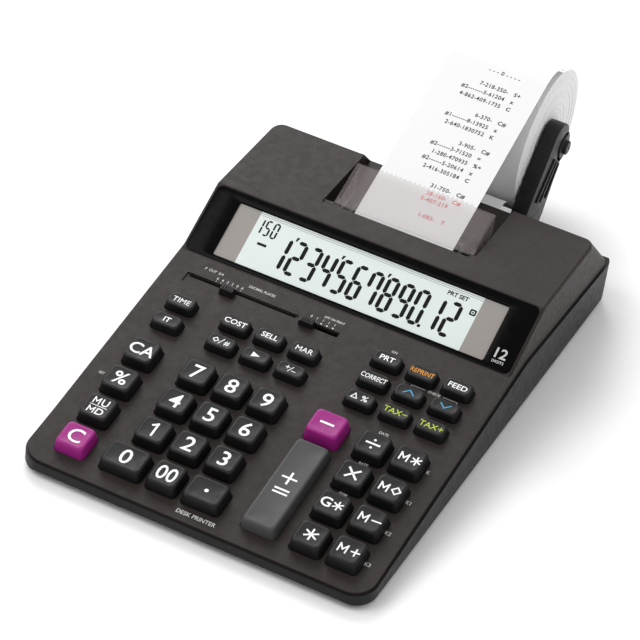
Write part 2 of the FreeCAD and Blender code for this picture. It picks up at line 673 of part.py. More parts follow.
def make_holder():
    left_x = f"{ROLL_LEFT} - arm_gap - arm_thickness"
    right_x_ = f"{ROLL_RIGHT} + arm_gap"
    pieces = make_arm("left", left_x, f"{ROLL_LEFT} - arm_gap", f"{left_x} - knob_length")
    pieces += make_arm("right", right_x_, f"{right_x_} - stub_length - arm_gap + 0.01",
                       f"{right_x_} + arm_thickness - 1")
    pieces.append(box("holder_crossbar", f"{left_x} + 1", "rear_wall_y + running_gap", "crossbar_z",
                      "paper_width + 2 * arm_gap + 2 * arm_thickness - 2", "crossbar_depth",
                      "crossbar_height"))
    for sign in (-1, 1):
        pieces.append(box(f"holder_tab_{sign + 1}",
                          f"paper_centre_x + {sign} * tab_spread / 2 - tab_width / 2",
                          "rear_wall_y - wall - 3", "crossbar_z + 3", "tab_width", "wall + 5",
                          "tab_height"))
    node("roll_holder", fuse("roll_holder", pieces))


# ---------------------------------------------------------------- lower case and its small parts

CORNERS = [(sx, sy) for sx in (-1, 1) for sy in ("front", "rear")]


def make_lower_case():
    bottom = [("base_edge_inset", "base_z"), ("0 - 0.01", "base_edge_z"),
              ("0 - 0.01", "parting_front_z - parting_gap")]
    top = [("parting_kink_y", "parting_kink_z - parting_gap"),
           ("rear_parting_y + 1.5", "rear_parting_z - parting_gap"),
           ("rear_wall_y", "rear_shoulder_z"), ("rear_wall_y", "base_edge_z"),
           ("rear_wall_y - base_edge_inset", "base_z")]
    block = side_profile("lower_block", bottom + top, "case_width + 10")
    tray = common("lower_tray", block, plan_prism("lower_plan", "0"))

    def bottom_corner(edge):
        return edge.BoundBox.ZMax < dim("base_edge_z") and edge.BoundBox.YLength > 50
    tray = round_edges("lower_rounded", tray, dim("base_edge_inset") * 0.9, bottom_corner)

    lip_shift = "inset + wall + running_gap / 2"
    lip_top = "lip_height - parting_gap"
    parting_rise = "(parting_kink_z - parting_front_z) / parting_kink_y"
    lip_rear = "rear_parting_y - lip_rear_inset"
    lip_block = side_profile("lip_block", [
        ("0", "base_edge_z"), ("0", "deck_front_z - wall / cos(deck_angle) - running_gap"),
        ("lip_meet_y", f"parting_front_z + {lip_top} + lip_meet_y * {parting_rise}"),
        ("parting_kink_y", f"parting_kink_z + {lip_top}"),
        (lip_rear, f"rear_parting_z + {lip_top}"), (lip_rear, "base_edge_z")], "case_width + 10")
    lip = common("lower_lip", lip_block, plan_prism("lip_plan", lip_shift))

    room_block = side_profile("tray_room_block", [
        ("0", "base_z + floor"), ("0", "80"), (f"{lip_rear} - lip_wall", "80"),
        (f"{lip_rear} - lip_wall", "rear_parting_z - 1"), ("rear_wall_y - wall", "rear_shoulder_z"),
        ("rear_wall_y - wall", "base_z + floor")], "case_width + 10")
    room = common("tray_room", room_block, plan_prism("room_plan", f"{lip_shift} + lip_wall"))

    recess = box("battery_recess", "0 - battery_width / 2 - running_gap", "battery_front_y",
                 "base_z - 1", "battery_width + 2 * running_gap",
                 "battery_length + battery_slide + running_gap",
                 "1 + battery_thickness + running_gap / 2")
    hatch = box("battery_opening", "0 - battery_width / 2 + 4", "battery_front_y + 4", "base_z - 1",
                "battery_width - 8", "battery_length - 8", "floor + 2")
    cutters = [room, recess, hatch]
    for sign in (-1, 1):
        cutters.append(box(f"tab_slot_{sign + 1}",
                           f"paper_centre_x + {sign} * tab_spread / 2 - tab_width / 2 - 0.3",
                           "rear_wall_y - wall - 6", "crossbar_z + 2.7", "tab_width + 0.6",
                           "wall + 8", "tab_height + 0.6"))
    bosses = []
    for sign, end in CORNERS:
        spot = (f"{sign} * screw_x", f"screw_{end}_y")
        bosses.append(post(f"lower_boss_{sign + 1}_{end}", *spot, "base_z + 0.5", "boss_radius",
                           "boss_meet_z - base_z - 0.5"))
        cutters.append(post(f"head_bore_{sign + 1}_{end}", *spot, "base_z - 1",
                            "screw_head_radius + 0.3", "1 + screw_head + 1"))
        cutters.append(post(f"screw_bore_{sign + 1}_{end}", *spot, "base_z - 1",
                            "screw_radius + 0.3", "20"))
    shell = cut("lower_shell", fuse("lower_with_lip", [tray, lip]), cutters[:3])
    shell = fuse("lower_with_bosses", [shell] + bosses)
    node("lower_case", cut("lower_case", shell, cutters[3:]))


def make_upper_case():
    shell = cut("upper_shell", upper_outer(), [cavity("upper_cavity", "wall")])
    frame_block = box("well_block", "well_left_x - well_skin", "well_front_y - well_skin",
                      "well_floor_z - well_skin", "well_right_x - well_left_x + 2 * well_skin",
                      "90", "rear_top_z - well_floor_z + well_skin")
    well_frame = common("well_frame", frame_block, doc.getObject("upper_trimmed"))
    bosses = []
    for sign, end in CORNERS:
        bosses.append(post(f"upper_boss_{sign + 1}_{end}", f"{sign} * screw_x", f"screw_{end}_y",
                           "boss_meet_z + 0.2", "boss_radius",
                           f"boss_{end}_top_z - boss_meet_z - 0.2"))
    well = box("well_room", "well_left_x", "well_front_y", "well_floor_z",
               "well_right_x - well_left_x", "90", "40")
    mouth = box("printer_mouth", "paper_centre_x - printer_hole_width / 2",
                "printer_hole_front_y", "well_floor_z - 8", "printer_hole_width",
                "printer_hole_rear_y - printer_hole_front_y", "8 + 7")
    web_slot = box("web_slot", "paper_centre_x - paper_width / 2 - 2", "rear_top_y - 4",
                   f"{PLATEN_Z} - platen_radius - web_slot_height / 2 - 0.5",
                   "paper_width + 4", "40", "web_slot_height")
    window_frame = plate("window_frame", "window_width", "window_length + 2", "window_corner",
                         "0 - window_thickness - 1.6", "window_thickness + 1.4")
    on_panel(window_frame, "0")
    pin_bore = rod("cover_pin_bore", "well_left_x - 2", COVER_PIN_Y, COVER_PIN_Z,
                   "cover_pin_radius + cover_pin_clearance", "well_right_x - well_left_x + 4")
    cutters = [well, mouth, web_slot, pin_bore] + display_cutters()
    cutters += [key_hole(name, x, y, width, depth) for name, x, y, width, depth, _ in KEYS]
    trough = plate("switch_trough", "trough_length", "trough_depth", "0.8", "0 - trough_sink", "20")
    cutters.append(on_deck(trough, "rounding_slot_x", "trough_y"))
    cutters += [switch_slot("rounding"), switch_slot("mode")]
    for sign, end in CORNERS:
        cutters.append(post(f"pilot_{sign + 1}_{end}", f"{sign} * screw_x", f"screw_{end}_y",
                            "base_z + 8", "screw_radius + pilot_clearance", "16"))
    ledge = common("window_ledge", window_frame, doc.getObject("upper_trimmed"))
    body = fuse("upper_filled", [shell, well_frame, ledge] + bosses)
    node("upper_case", cut("upper_case", body, cutters))


def make_small_parts():
    cover = box("battery_plate", "0 - battery_width / 2", "battery_front_y + running_gap", "base_z",
                "battery_width", "battery_length", "battery_thickness")
    node("battery_cover", cover)
    feet = []
    screws = []
    for sign, end in CORNERS:
        name = f"{sign + 1}_{end}"
        feet.append(post(f"foot_{name}", f"{sign} * foot_inset_x", f"foot_{end}_y", "0",
                         "foot_radius", "base_z"))
        spot = (f"{sign} * screw_x", f"screw_{end}_y")
        head = post(f"head_{name}", *spot, "base_z + 0.9", "screw_head_radius", "screw_head")
        shaft = post(f"shaft_{name}", *spot, "base_z + 1", "screw_radius", "18")
        screws.append(fuse(f"screw_{name}", [head, shaft]))
    node("rubber_feet", group("rubber_feet", feet))
    node("case_screws", group("case_screws", screws))


# ---------------------------------------------------------------- build and write

make_keyboard()
make_switch("rounding_switch", "rounding", "trough_sink")
make_switch("mode_switch", "mode")
make_display()
make_lower_case()
make_upper_case()
make_small_parts()
make_paper()
make_printer()
make_printer_cover()
make_roll()
make_holder()
doc.recompute()

for obj in doc.Objects:
    if "Invalid" in obj.State or "Error" in obj.State:
        raise RuntimeError(f"{obj.Label} failed to recompute: {obj.State}")

os.makedirs("parts", exist_ok=True)
for name, obj in NODES.items():
    shape = obj.Shape
    if shape.isNull() or not shape.isValid():
        raise RuntimeError(f"{name} has no valid shape")
    shape.exportStep(f"parts/{name}.step")
    print(f"{name}: {len(shape.Solids)} solid(s), {shape.Volume:.0f} mm3")
print(f"{len(NODES)} nodes")
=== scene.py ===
"""The looks of the printing desk calculator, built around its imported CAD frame.

Shapes are worked out in millimetres in a local frame, and the frame's matrix turns them into metres.
"""
import json
import math
import bmesh
import bpy
from mathutils import Matrix, Vector


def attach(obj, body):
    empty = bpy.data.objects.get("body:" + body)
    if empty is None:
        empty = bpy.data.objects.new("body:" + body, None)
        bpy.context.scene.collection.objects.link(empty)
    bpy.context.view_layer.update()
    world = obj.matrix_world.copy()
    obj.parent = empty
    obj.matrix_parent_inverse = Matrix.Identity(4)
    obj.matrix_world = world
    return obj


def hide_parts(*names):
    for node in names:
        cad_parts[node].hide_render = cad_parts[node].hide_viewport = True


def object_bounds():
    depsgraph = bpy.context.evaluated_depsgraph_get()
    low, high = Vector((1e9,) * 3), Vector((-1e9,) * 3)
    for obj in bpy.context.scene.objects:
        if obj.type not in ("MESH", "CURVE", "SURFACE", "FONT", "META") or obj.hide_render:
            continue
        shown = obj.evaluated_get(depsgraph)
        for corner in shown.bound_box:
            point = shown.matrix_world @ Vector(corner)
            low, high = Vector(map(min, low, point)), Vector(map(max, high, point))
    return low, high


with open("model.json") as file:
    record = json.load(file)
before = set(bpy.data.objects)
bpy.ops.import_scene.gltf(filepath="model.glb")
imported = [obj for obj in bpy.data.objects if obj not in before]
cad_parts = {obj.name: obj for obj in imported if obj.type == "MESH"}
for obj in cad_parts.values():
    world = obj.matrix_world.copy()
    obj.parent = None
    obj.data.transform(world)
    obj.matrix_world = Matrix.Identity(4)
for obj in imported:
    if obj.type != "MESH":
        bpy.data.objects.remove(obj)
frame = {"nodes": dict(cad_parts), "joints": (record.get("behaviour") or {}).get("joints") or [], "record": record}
cad_low, cad_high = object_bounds()
NODES = frame["nodes"]
SLOT_OF = {row["node"]: row["material_slot"] for row in frame["record"]["subparts"]}

MM = 0.001
FRONT = cad_low.y / MM            # the case's front edge
DECK_FRONT_Z = 10.3
DISPLAY_FOOT_Y, DISPLAY_TOP_Y, DISPLAY_TOP_Z = 163.3, 201.1, 59.1
PAPER_X, PAPER_WIDTH = 5.2, 58.0
STRIP_Y, STRIP_Z, STRIP_TILT = 222.5, 57.7, math.radians(22.7)
STRIP_LENGTH, STRIP_CURL, STRIP_END = 116.0, 26.0, 46
ROLL_Y, ROLL_Z, ROLL_RADIUS, CORE_RADIUS = 350.0, 55.0, 42.0, 6.4
FOOT_X, FOOT_ROWS, FOOT_RADIUS = 80.0, (26.0, 290.0), 6.0
CASE_UNDERSIDE = 2.0
PRESS_AXIS = next(j["axis"] for j in frame["joints"] if j["name"] == "key_5_press")
DECK_TILT = math.atan2(PRESS_AXIS[1], -PRESS_AXIS[2])
DISPLAY_FOOT_Z = DECK_FRONT_Z + DISPLAY_FOOT_Y * math.tan(DECK_TILT)
PANEL_TILT = math.atan2(DISPLAY_TOP_Z - DISPLAY_FOOT_Z, DISPLAY_TOP_Y - DISPLAY_FOOT_Y)


def local_frame(x, y, z, tilt=0.0):
    """X across the case, Y up a slope, Z out of it, in millimetres; y counts from the front edge."""
    return (Matrix.Scale(MM, 4) @ Matrix.Translation((x, y + FRONT, z))
            @ Matrix.Rotation(tilt, 4, "X"))


CASE = local_frame(0, 0, 0)
DECK = local_frame(0, 0, DECK_FRONT_Z, DECK_TILT)
PANEL = local_frame(0, (DISPLAY_FOOT_Y + DISPLAY_TOP_Y) / 2, (DISPLAY_FOOT_Z + DISPLAY_TOP_Z) / 2,
                    PANEL_TILT)
STRIP = local_frame(0, STRIP_Y, STRIP_Z, STRIP_TILT)


# ---------------------------------------------------------------- materials

def new_material(name):
    material = bpy.data.materials.new(name)
    material.use_nodes = True
    nodes = material.node_tree.nodes
    shader = next(n for n in nodes if n.type == "BSDF_PRINCIPLED")
    return material, material.node_tree, shader


def add_node(tree, kind, **settings):
    made = tree.nodes.new(kind)
    for name, value in settings.items():
        if name in made.inputs:
            made.inputs[name].default_value = value
        else:
            setattr(made, name, value)
    return made


def object_coordinates(tree):
    return tree.nodes.new("ShaderNodeTexCoord").outputs["Object"]


def noise(tree, scale, detail=3.0):
    made = add_node(tree, "ShaderNodeTexNoise", Scale=scale, Detail=detail)
    tree.links.new(object_coordinates(tree), made.inputs["Vector"])
    return made.outputs["Fac"]


def between(tree, share, low, high):
    """A number or colour from low to high as share goes from 0.35 to 0.65."""
    ramp = add_node(tree, "ShaderNodeValToRGB")
    ramp.color_ramp.elements[0].position = 0.35
    ramp.color_ramp.elements[1].position = 0.65
    for element, value in zip(ramp.color_ramp.elements, (low, high)):
        colour = value if isinstance(value, tuple) else (value, value, value)
        element.color = (*colour, 1)
    tree.links.new(share, ramp.inputs["Fac"])
    return ramp.outputs["Color"]


def bump(tree, shader, height, depth, strength=1.0, under=None):
    made = add_node(tree, "ShaderNodeBump", Strength=strength, Distance=depth)
    tree.links.new(height, made.inputs["Height"])
    if under is not None:
        tree.links.new(under, made.inputs["Normal"])
    tree.links.new(made.outputs["Normal"], shader.inputs["Normal"])
    return made.outputs["Normal"]


def shaded(colour, factor):
    return tuple(c * factor for c in colour)


def plastic(name, colour, roughness, grain=3500, depth=0.00004, mottle=0.12, gloss_level=0.2):
    """Moulded plastic: spark-eroded grain, a slow change of tone and uneven gloss."""
    material, tree, shader = new_material(name)
    tone = between(tree, noise(tree, 35), shaded(colour, 1 - mottle), shaded(colour, 1 + mottle))
    tree.links.new(tone, shader.inputs["Base Color"])
    gloss = between(tree, noise(tree, 260), roughness - 0.04, roughness + 0.06)
    tree.links.new(gloss, shader.inputs["Roughness"])
    shader.inputs["Specular IOR Level"].default_value = gloss_level
    bump(tree, shader, noise(tree, grain, 2.0), depth)
    return material


def deck_plastic(name, colour):
    """The upper case: grained, with a fine pattern of raised dots on the key deck."""
    material = plastic(name, colour, 0.5, grain=3000, depth=0.00005)
    tree = material.node_tree
    shader = next(n for n in tree.nodes if n.type == "BSDF_PRINCIPLED")
    turn = add_node(tree, "ShaderNodeMapping", vector_type="POINT")
    turn.inputs["Rotation"].default_value = (-DECK_TILT, 0, 0)
    tree.links.new(object_coordinates(tree), turn.inputs["Vector"])
    cells = add_node(tree, "ShaderNodeTexVoronoi", voronoi_dimensions="2D", Scale=900.0,
                     Randomness=0.0)
    tree.links.new(turn.outputs["Vector"], cells.inputs["Vector"])
    dots = add_node(tree, "ShaderNodeMapRange", interpolation_type="SMOOTHSTEP")
    for socket, value in (("From Min", 0.22), ("From Max", 0.42), ("To Min", 1.0), ("To Max", 0.0)):
        dots.inputs[socket].default_value = value
    tree.links.new(cells.outputs["Distance"], dots.inputs["Value"])
    grain = shader.inputs["Normal"].links[0].from_socket
    bump(tree, shader, dots.outputs["Result"], 0.00008, 0.6, grain)
    return material


def rubber(name, colour):
    """Matt rubber or silicone."""
    return plastic(name, colour, 0.82, grain=1800, depth=0.00006, mottle=0.2)


def ink(name, colour, roughness=0.5, gloss_level=0.3):
    """Printed or double-shot lettering, slightly uneven; also the painted shadow lines along the top of the LCD.
    """
    material, tree, shader = new_material(name)
    tone = between(tree, noise(tree, 900), shaded(colour, 0.9), colour)
    tree.links.new(tone, shader.inputs["Base Color"])
    shader.inputs["Roughness"].default_value = roughness
    shader.inputs["Specular IOR Level"].default_value = gloss_level
    bump(tree, shader, noise(tree, 5000, 1.0), 0.00001)
    return material


def paper(name, colour, lines=0.0):
    """Uncoated paper with fibres; lines adds the fine layers of a wound roll's end."""
    material, tree, shader = new_material(name)
    tone = between(tree, noise(tree, 1400, 6.0), shaded(colour, 0.965), colour)
    tree.links.new(tone, shader.inputs["Base Color"])
    shader.inputs["Roughness"].default_value = 0.9
    shader.inputs["Specular IOR Level"].default_value = 0.2
    fibres = bump(tree, shader, noise(tree, 2200, 6.0), 0.00002)
    if lines:
        centre = Vector((0, (ROLL_Y + FRONT) * MM, ROLL_Z * MM))
        away = add_node(tree, "ShaderNodeVectorMath", operation="SUBTRACT")
        away.inputs[1].default_value = centre
        tree.links.new(object_coordinates(tree), away.inputs[0])
        flat = add_node(tree, "ShaderNodeVectorMath", operation="MULTIPLY")
        flat.inputs[1].default_value = (0, 1, 1)
        tree.links.new(away.outputs["Vector"], flat.inputs[0])
        length = add_node(tree, "ShaderNodeVectorMath", operation="LENGTH")
        tree.links.new(flat.outputs["Vector"], length.inputs[0])
        layers = add_node(tree, "ShaderNodeTexNoise", noise_dimensions="1D", Scale=lines,
                          Detail=2.0)
        tree.links.new(length.outputs["Value"], layers.inputs["W"])
        rings = between(tree, layers.outputs["Fac"], shaded(colour, 0.80), colour)
        tree.links.new(rings, shader.inputs["Base Color"])
        bump(tree, shader, layers.outputs["Fac"], 0.0001, 1.0, fibres)
    return material


def metal(name, colour, roughness):
    material, tree, shader = new_material(name)
    tone = between(tree, noise(tree, 300), shaded(colour, 0.85), colour)
    tree.links.new(tone, shader.inputs["Base Color"])
    shader.inputs["Metallic"].default_value = 1.0
    shader.inputs["Roughness"].default_value = roughness
    bump(tree, shader, noise(tree, 2500), 0.00002)
    return material


def clear_plastic(name, tint, opacity):
    """Thin clear plastic: mostly see-through, with a gloss of its own."""
    material, tree, shader = new_material(name)
    tone = between(tree, noise(tree, 60), shaded(tint, 0.94), tint)
    tree.links.new(tone, shader.inputs["Base Color"])
    shader.inputs["Roughness"].default_value = 0.12
    shader.inputs["Alpha"].default_value = opacity
    shader.inputs["Specular IOR Level"].default_value = 0.3
    bump(tree, shader, noise(tree, 120), 0.000004)
    return material


def circuit(name):
    """Green solder mask with paler tracks under it."""
    material, tree, shader = new_material(name)
    bricks = add_node(tree, "ShaderNodeTexBrick", Scale=110.0, **{"Mortar Size": 0.06})
    for socket, colour in (("Color1", (0.02, 0.13, 0.05, 1)), ("Color2", (0.02, 0.16, 0.06, 1)),
                           ("Mortar", (0.06, 0.30, 0.12, 1))):
        bricks.inputs[socket].default_value = colour
    tree.links.new(object_coordinates(tree), bricks.inputs["Vector"])
    tree.links.new(bricks.outputs["Color"], shader.inputs["Base Color"])
    shader.inputs["Roughness"].default_value = 0.35
    bump(tree, shader, bricks.outputs["Fac"], 0.00003)
    return material


UPPER = deck_plastic("upper_shell", (0.0195, 0.0142, 0.0125))
LOWER = plastic("lower_shell", (0.0120, 0.0120, 0.0122), 0.45, grain=2600, depth=0.00005,
                gloss_level=0.16)
KEY_BLACK = plastic("key_black", (0.0075, 0.0075, 0.0077), 0.42, grain=5200, depth=0.00002)
KEY_MAGENTA = plastic("key_magenta", (0.27, 0.013, 0.17), 0.38, grain=5200, depth=0.00002,
                      mottle=0.05)
KEY_GREY = plastic("key_grey", (0.055, 0.055, 0.055), 0.42, grain=5200, depth=0.00002, mottle=0.06)
SWITCH = plastic("switch_black", (0.008, 0.008, 0.008), 0.4, grain=4000, depth=0.00003)
BEZEL = plastic("display_lens", (0.0010, 0.0010, 0.0011), 0.16, grain=150, depth=0.000006,
                mottle=0.2, gloss_level=0.05)
HOLDER = plastic("holder", (0.012, 0.012, 0.0122), 0.4, grain=3000, depth=0.00004)
LCD_FACE = plastic("lcd_face", (0.62, 0.68, 0.66), 0.35, grain=900, depth=0.000001, mottle=0.012,
                   gloss_level=0.2)
LCD_SIDE = plastic("lcd_side", (0.27, 0.25, 0.235), 0.35, grain=900, depth=0.000001, mottle=0.02,
                   gloss_level=0.2)
# Colour of the two dark lines along the top of the LCD: painted shadow of the display frame's inner edge.
LCD_EDGE_SHADOW = ink("lcd_edge_painted_shadow", (0.30, 0.31, 0.30))
SEGMENT = ink("lcd_segment", (0.002, 0.0022, 0.0022), 0.4, 0.1)
WHITE_INK = ink("white_ink", (0.86, 0.86, 0.86))
GREY_INK = ink("grey_ink", (0.52, 0.51, 0.50))
ORANGE_INK = ink("orange_ink", (0.62, 0.24, 0.01))
BLUE_INK = ink("blue_ink", (0.05, 0.33, 0.55))
GREEN_INK = ink("green_ink", (0.40, 0.50, 0.03))
PRINT_BLACK = ink("print_black", (0.035, 0.035, 0.04), 0.8)
PRINT_RED = ink("print_red", (0.70, 0.16, 0.17), 0.8)
PAPER = paper("paper", (0.74, 0.74, 0.74))
# The roll's paper is painted brighter (0.94) than the same paper on the strip (0.74): painted light that brightens
# the roll's end face.
PAPER_END_LIT = paper("paper_end_painted_light", (0.94, 0.94, 0.94), lines=2600.0)
CARDBOARD = paper("cardboard", (0.36, 0.26, 0.17))
RUBBER = rubber("rubber", (0.018, 0.018, 0.018))
SILICONE = rubber("silicone", (0.50, 0.50, 0.48))
STEEL = metal("steel", (0.55, 0.55, 0.56), 0.35)
BOARD = circuit("board")
CLEAR = clear_plastic("clear_cover", (0.42, 0.36, 0.36), 0.15)
MECHANISM = plastic("mechanism", (0.035, 0.035, 0.037), 0.5)


# ---------------------------------------------------------------- shapes

def rounded(width, depth, radius, steps=5):
    """The outline of a rectangle with round corners, about its middle."""
    points = []
    for quarter, (sx, sy) in enumerate(((1, 1), (-1, 1), (-1, -1), (1, -1))):
        for step in range(steps + 1):
            angle = (quarter + step / steps) * math.pi / 2
            points.append((sx * (width / 2 - radius) + radius * math.cos(angle),
                           sy * (depth / 2 - radius) + radius * math.sin(angle)))
    return points


def circle(x, y, radius, steps=16):
    return [(x + radius * math.cos(2 * math.pi * i / steps),
             y + radius * math.sin(2 * math.pi * i / steps)) for i in range(steps)]


def loft(rings):
    """A closed solid through rings of the same number of points."""
    count = len(rings[0])
    points = [p for ring in rings for p in ring]
    faces = [list(reversed(range(count)))]
    for level in range(len(rings) - 1):
        low, high = level * count, (level + 1) * count
        for i in range(count):
            j = (i + 1) % count
            faces.append([low + i, low + j, high + j, high + i])
    faces.append([(len(rings) - 1) * count + i for i in range(count)])
    return points, faces


def prism(outline, low, high):
    """A flat piece over an outline, between two heights."""
    return loft([[(x, y, low) for x, y in outline], [(x, y, high) for x, y in outline]])


def ring_plate(outer, inner, low, high):
    """A flat frame between two outlines with the same number of points."""
    count = len(outer)
    loops = [(outer, low), (outer, high), (inner, high), (inner, low)]
    points = [(x, y, z) for outline, z in loops for x, y in outline]
    faces = []
    for level in range(4):
        low_start, high_start = level * count, (level + 1) % 4 * count
        for i in range(count):
            j = (i + 1) % count
            faces.append([low_start + i, low_start + j, high_start + j, high_start + i])
    return points, faces


def turned(profile, x_axis_at, steps=96):
    """A closed profile of (x, radius) turned about a line along X through (y, z)."""
    y, z = x_axis_at
    rings = []
    for i in range(steps):
        angle = 2 * math.pi * i / steps
        rings.append([(x, y + r * math.cos(angle), z + r * math.sin(angle)) for x, r in profile])
    count = len(profile)
    points = [p for ring in rings for p in ring]
    faces = []
    for i in range(steps):
        for k in range(count):
            here, there = i * count, (i + 1) % steps * count
            faces.append([here + k, here + (k + 1) % count, there + (k + 1) % count, there + k])
    return points, faces


def bar(x0, y0, x1, y1, width, low=0.0, high=0.05):
    """A straight stroke with square ends."""
    along = Vector((x1 - x0, y1 - y0)).normalized() * width / 2
    side = Vector((-along.y, along.x))
    a, b = Vector((x0, y0)) - along, Vector((x1, y1)) + along
    return prism([a + side, a - side, b - side, b + side], low, high)


def block(x0, x1, y0, y1, z0, z1):
    return prism([(x0, y0), (x1, y0), (x1, y1), (x0, y1)], z0, z1)


class Piece:
    """Closed solids gathered in one mesh, in millimetres of a local frame."""

    def __init__(self):
        self.points, self.faces, self.slots = [], [], []

    def add(self, solid, slot=0, shift=(0, 0, 0), fit=None):
        points, faces = solid
        base = len(self.points)
        moved = [Vector(p) + Vector(shift) for p in points]
        self.points += [fit(p) for p in moved] if fit else moved
        self.faces += [[base + i for i in face] for face in faces]
        self.slots += [slot] * len(faces)
        return self

    def build(self, name, body, materials, matrix=CASE, replaces=(), bevel=0.0, sharp=32,
              record_slot=None):
        mesh = bpy.data.meshes.new(name)
        mesh.from_pydata([matrix @ p for p in self.points], [], self.faces)
        for polygon, slot in zip(mesh.polygons, self.slots):
            polygon.material_index = slot
        work = bmesh.new()
        work.from_mesh(mesh)
        bmesh.ops.recalc_face_normals(work, faces=work.faces)
        if bevel:
            edges = [e for e in work.edges
                     if len(e.link_faces) == 2 and e.calc_face_angle() > math.radians(sharp)]
            bmesh.ops.bevel(work, geom=edges, offset=bevel * MM, segments=3, profile=0.5,
                            affect="EDGES", clamp_overlap=True)
        work.to_mesh(mesh)
        work.free()
        mesh.shade_smooth()
        mesh.set_sharp_from_angle(angle=math.radians(sharp))
        for material in materials:
            mesh.materials.append(material)
        made = bpy.data.objects.new(name, mesh)
        bpy.context.scene.collection.objects.link(made)
        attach(made, body)
        if replaces:
            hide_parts(*replaces)
        return made


def raw_text(words, bold, spacing, thick):
    curve = bpy.data.curves.new("words", "FONT")
    curve.body = words
    curve.size = 10.0
    curve.space_character = spacing
    curve.offset = bold
    curve.extrude = thick / 2
    curve.resolution_u = 3
    holder = bpy.data.objects.new("words", curve)
    bpy.context.scene.collection.objects.link(holder)
    mesh = bpy.data.meshes.new_from_object(holder)
    points = [v.co.copy() for v in mesh.vertices]
    faces = [list(p.vertices) for p in mesh.polygons]
    bpy.data.objects.remove(holder)
    bpy.data.curves.remove(curve)
    bpy.data.meshes.remove(mesh)
    return points, faces


CAPITAL = max(p.y for p in raw_text("H", 0.0, 1.0, 0.1)[0])


def text(words, height, bold=0.0, spacing=1.0, stretch=1.0, thick=0.05, align="middle"):
    """Words as thin solids, with capitals of the given height, standing on Z 0."""
    scale = height / CAPITAL
    points, faces = raw_text(words, bold / scale, spacing, thick / scale)
    low, high = min(p.x for p in points), max(p.x for p in points)
    middle = {"left": low, "right": high, "middle": (low + high) / 2}[align]
    placed = [((p.x - middle) * scale * stretch, (p.y - CAPITAL / 2) * scale,
               p.z * scale + thick / 2) for p in points]
    return placed, faces


# ---------------------------------------------------------------- keys

KEY_TAPER, KEY_CORNER, FLANGE_RIM, CROWN = math.radians(9), 2.4, 0.9, 1.25
WALL, FLANGE = 2.2, 0.8


def deck_extent(node):
    """Lowest and highest corner of a CAD node in the deck's own frame."""
    back = DECK.inverted()
    points = [back @ v.co for v in NODES[node].data.vertices]
    return [Vector(f(p[i] for p in points) for i in range(3)) for f in (min, max)]


class Cap:
    """A key cap over the deck: its size, its profile and the height of its top face."""

    def __init__(self, node):
        low, high = deck_extent(node)
        self.x, self.y = (low.x + high.x) / 2, (low.y + high.y) / 2
        self.width = high.x - low.x - 2 * FLANGE_RIM
        self.depth = high.y - low.y - 2 * FLANGE_RIM
        self.height = high.z
        self.dish = 0.45 if self.depth > 12 else 0.25
        self.crown_inset = (CROWN + (self.height - CROWN) * math.sin(KEY_TAPER)) / math.cos(KEY_TAPER)
        self.half = min(self.width, self.depth) / 2 - self.crown_inset

    def top(self, x, y):
        """Height of the dished top face at a point from the key's middle."""
        inset = min(self.width / 2 - abs(x), self.depth / 2 - abs(y)) - self.crown_inset
        share = max(0.0, min(1.0, inset / self.half))
        return self.height - self.dish * (1 - (1 - share) ** 2)

    def rings(self):
        under = -WALL - 0.17
        profile = [(-FLANGE_RIM, under - FLANGE), (-FLANGE_RIM, under), (0, under), (0, 0)]
        for step in range(6):
            angle = KEY_TAPER + (math.pi / 2 - KEY_TAPER) * step / 5
            profile.append((self.crown_inset - CROWN * math.cos(angle),
                            self.height - CROWN + CROWN * math.sin(angle)))
        for share in (0.08, 0.18, 0.3, 0.45, 0.62, 0.8, 0.94):
            profile.append((self.crown_inset + share * self.half,
                            self.height - self.dish * (1 - (1 - share) ** 2)))
        rings = []
        for inset, z in profile:
            width, depth = self.width - 2 * inset, self.depth - 2 * inset
            radius = min(KEY_CORNER, min(width, depth) * 0.49)
            rings.append([(x, y, z) for x, y in rounded(width, depth, radius, 6)])
        return rings


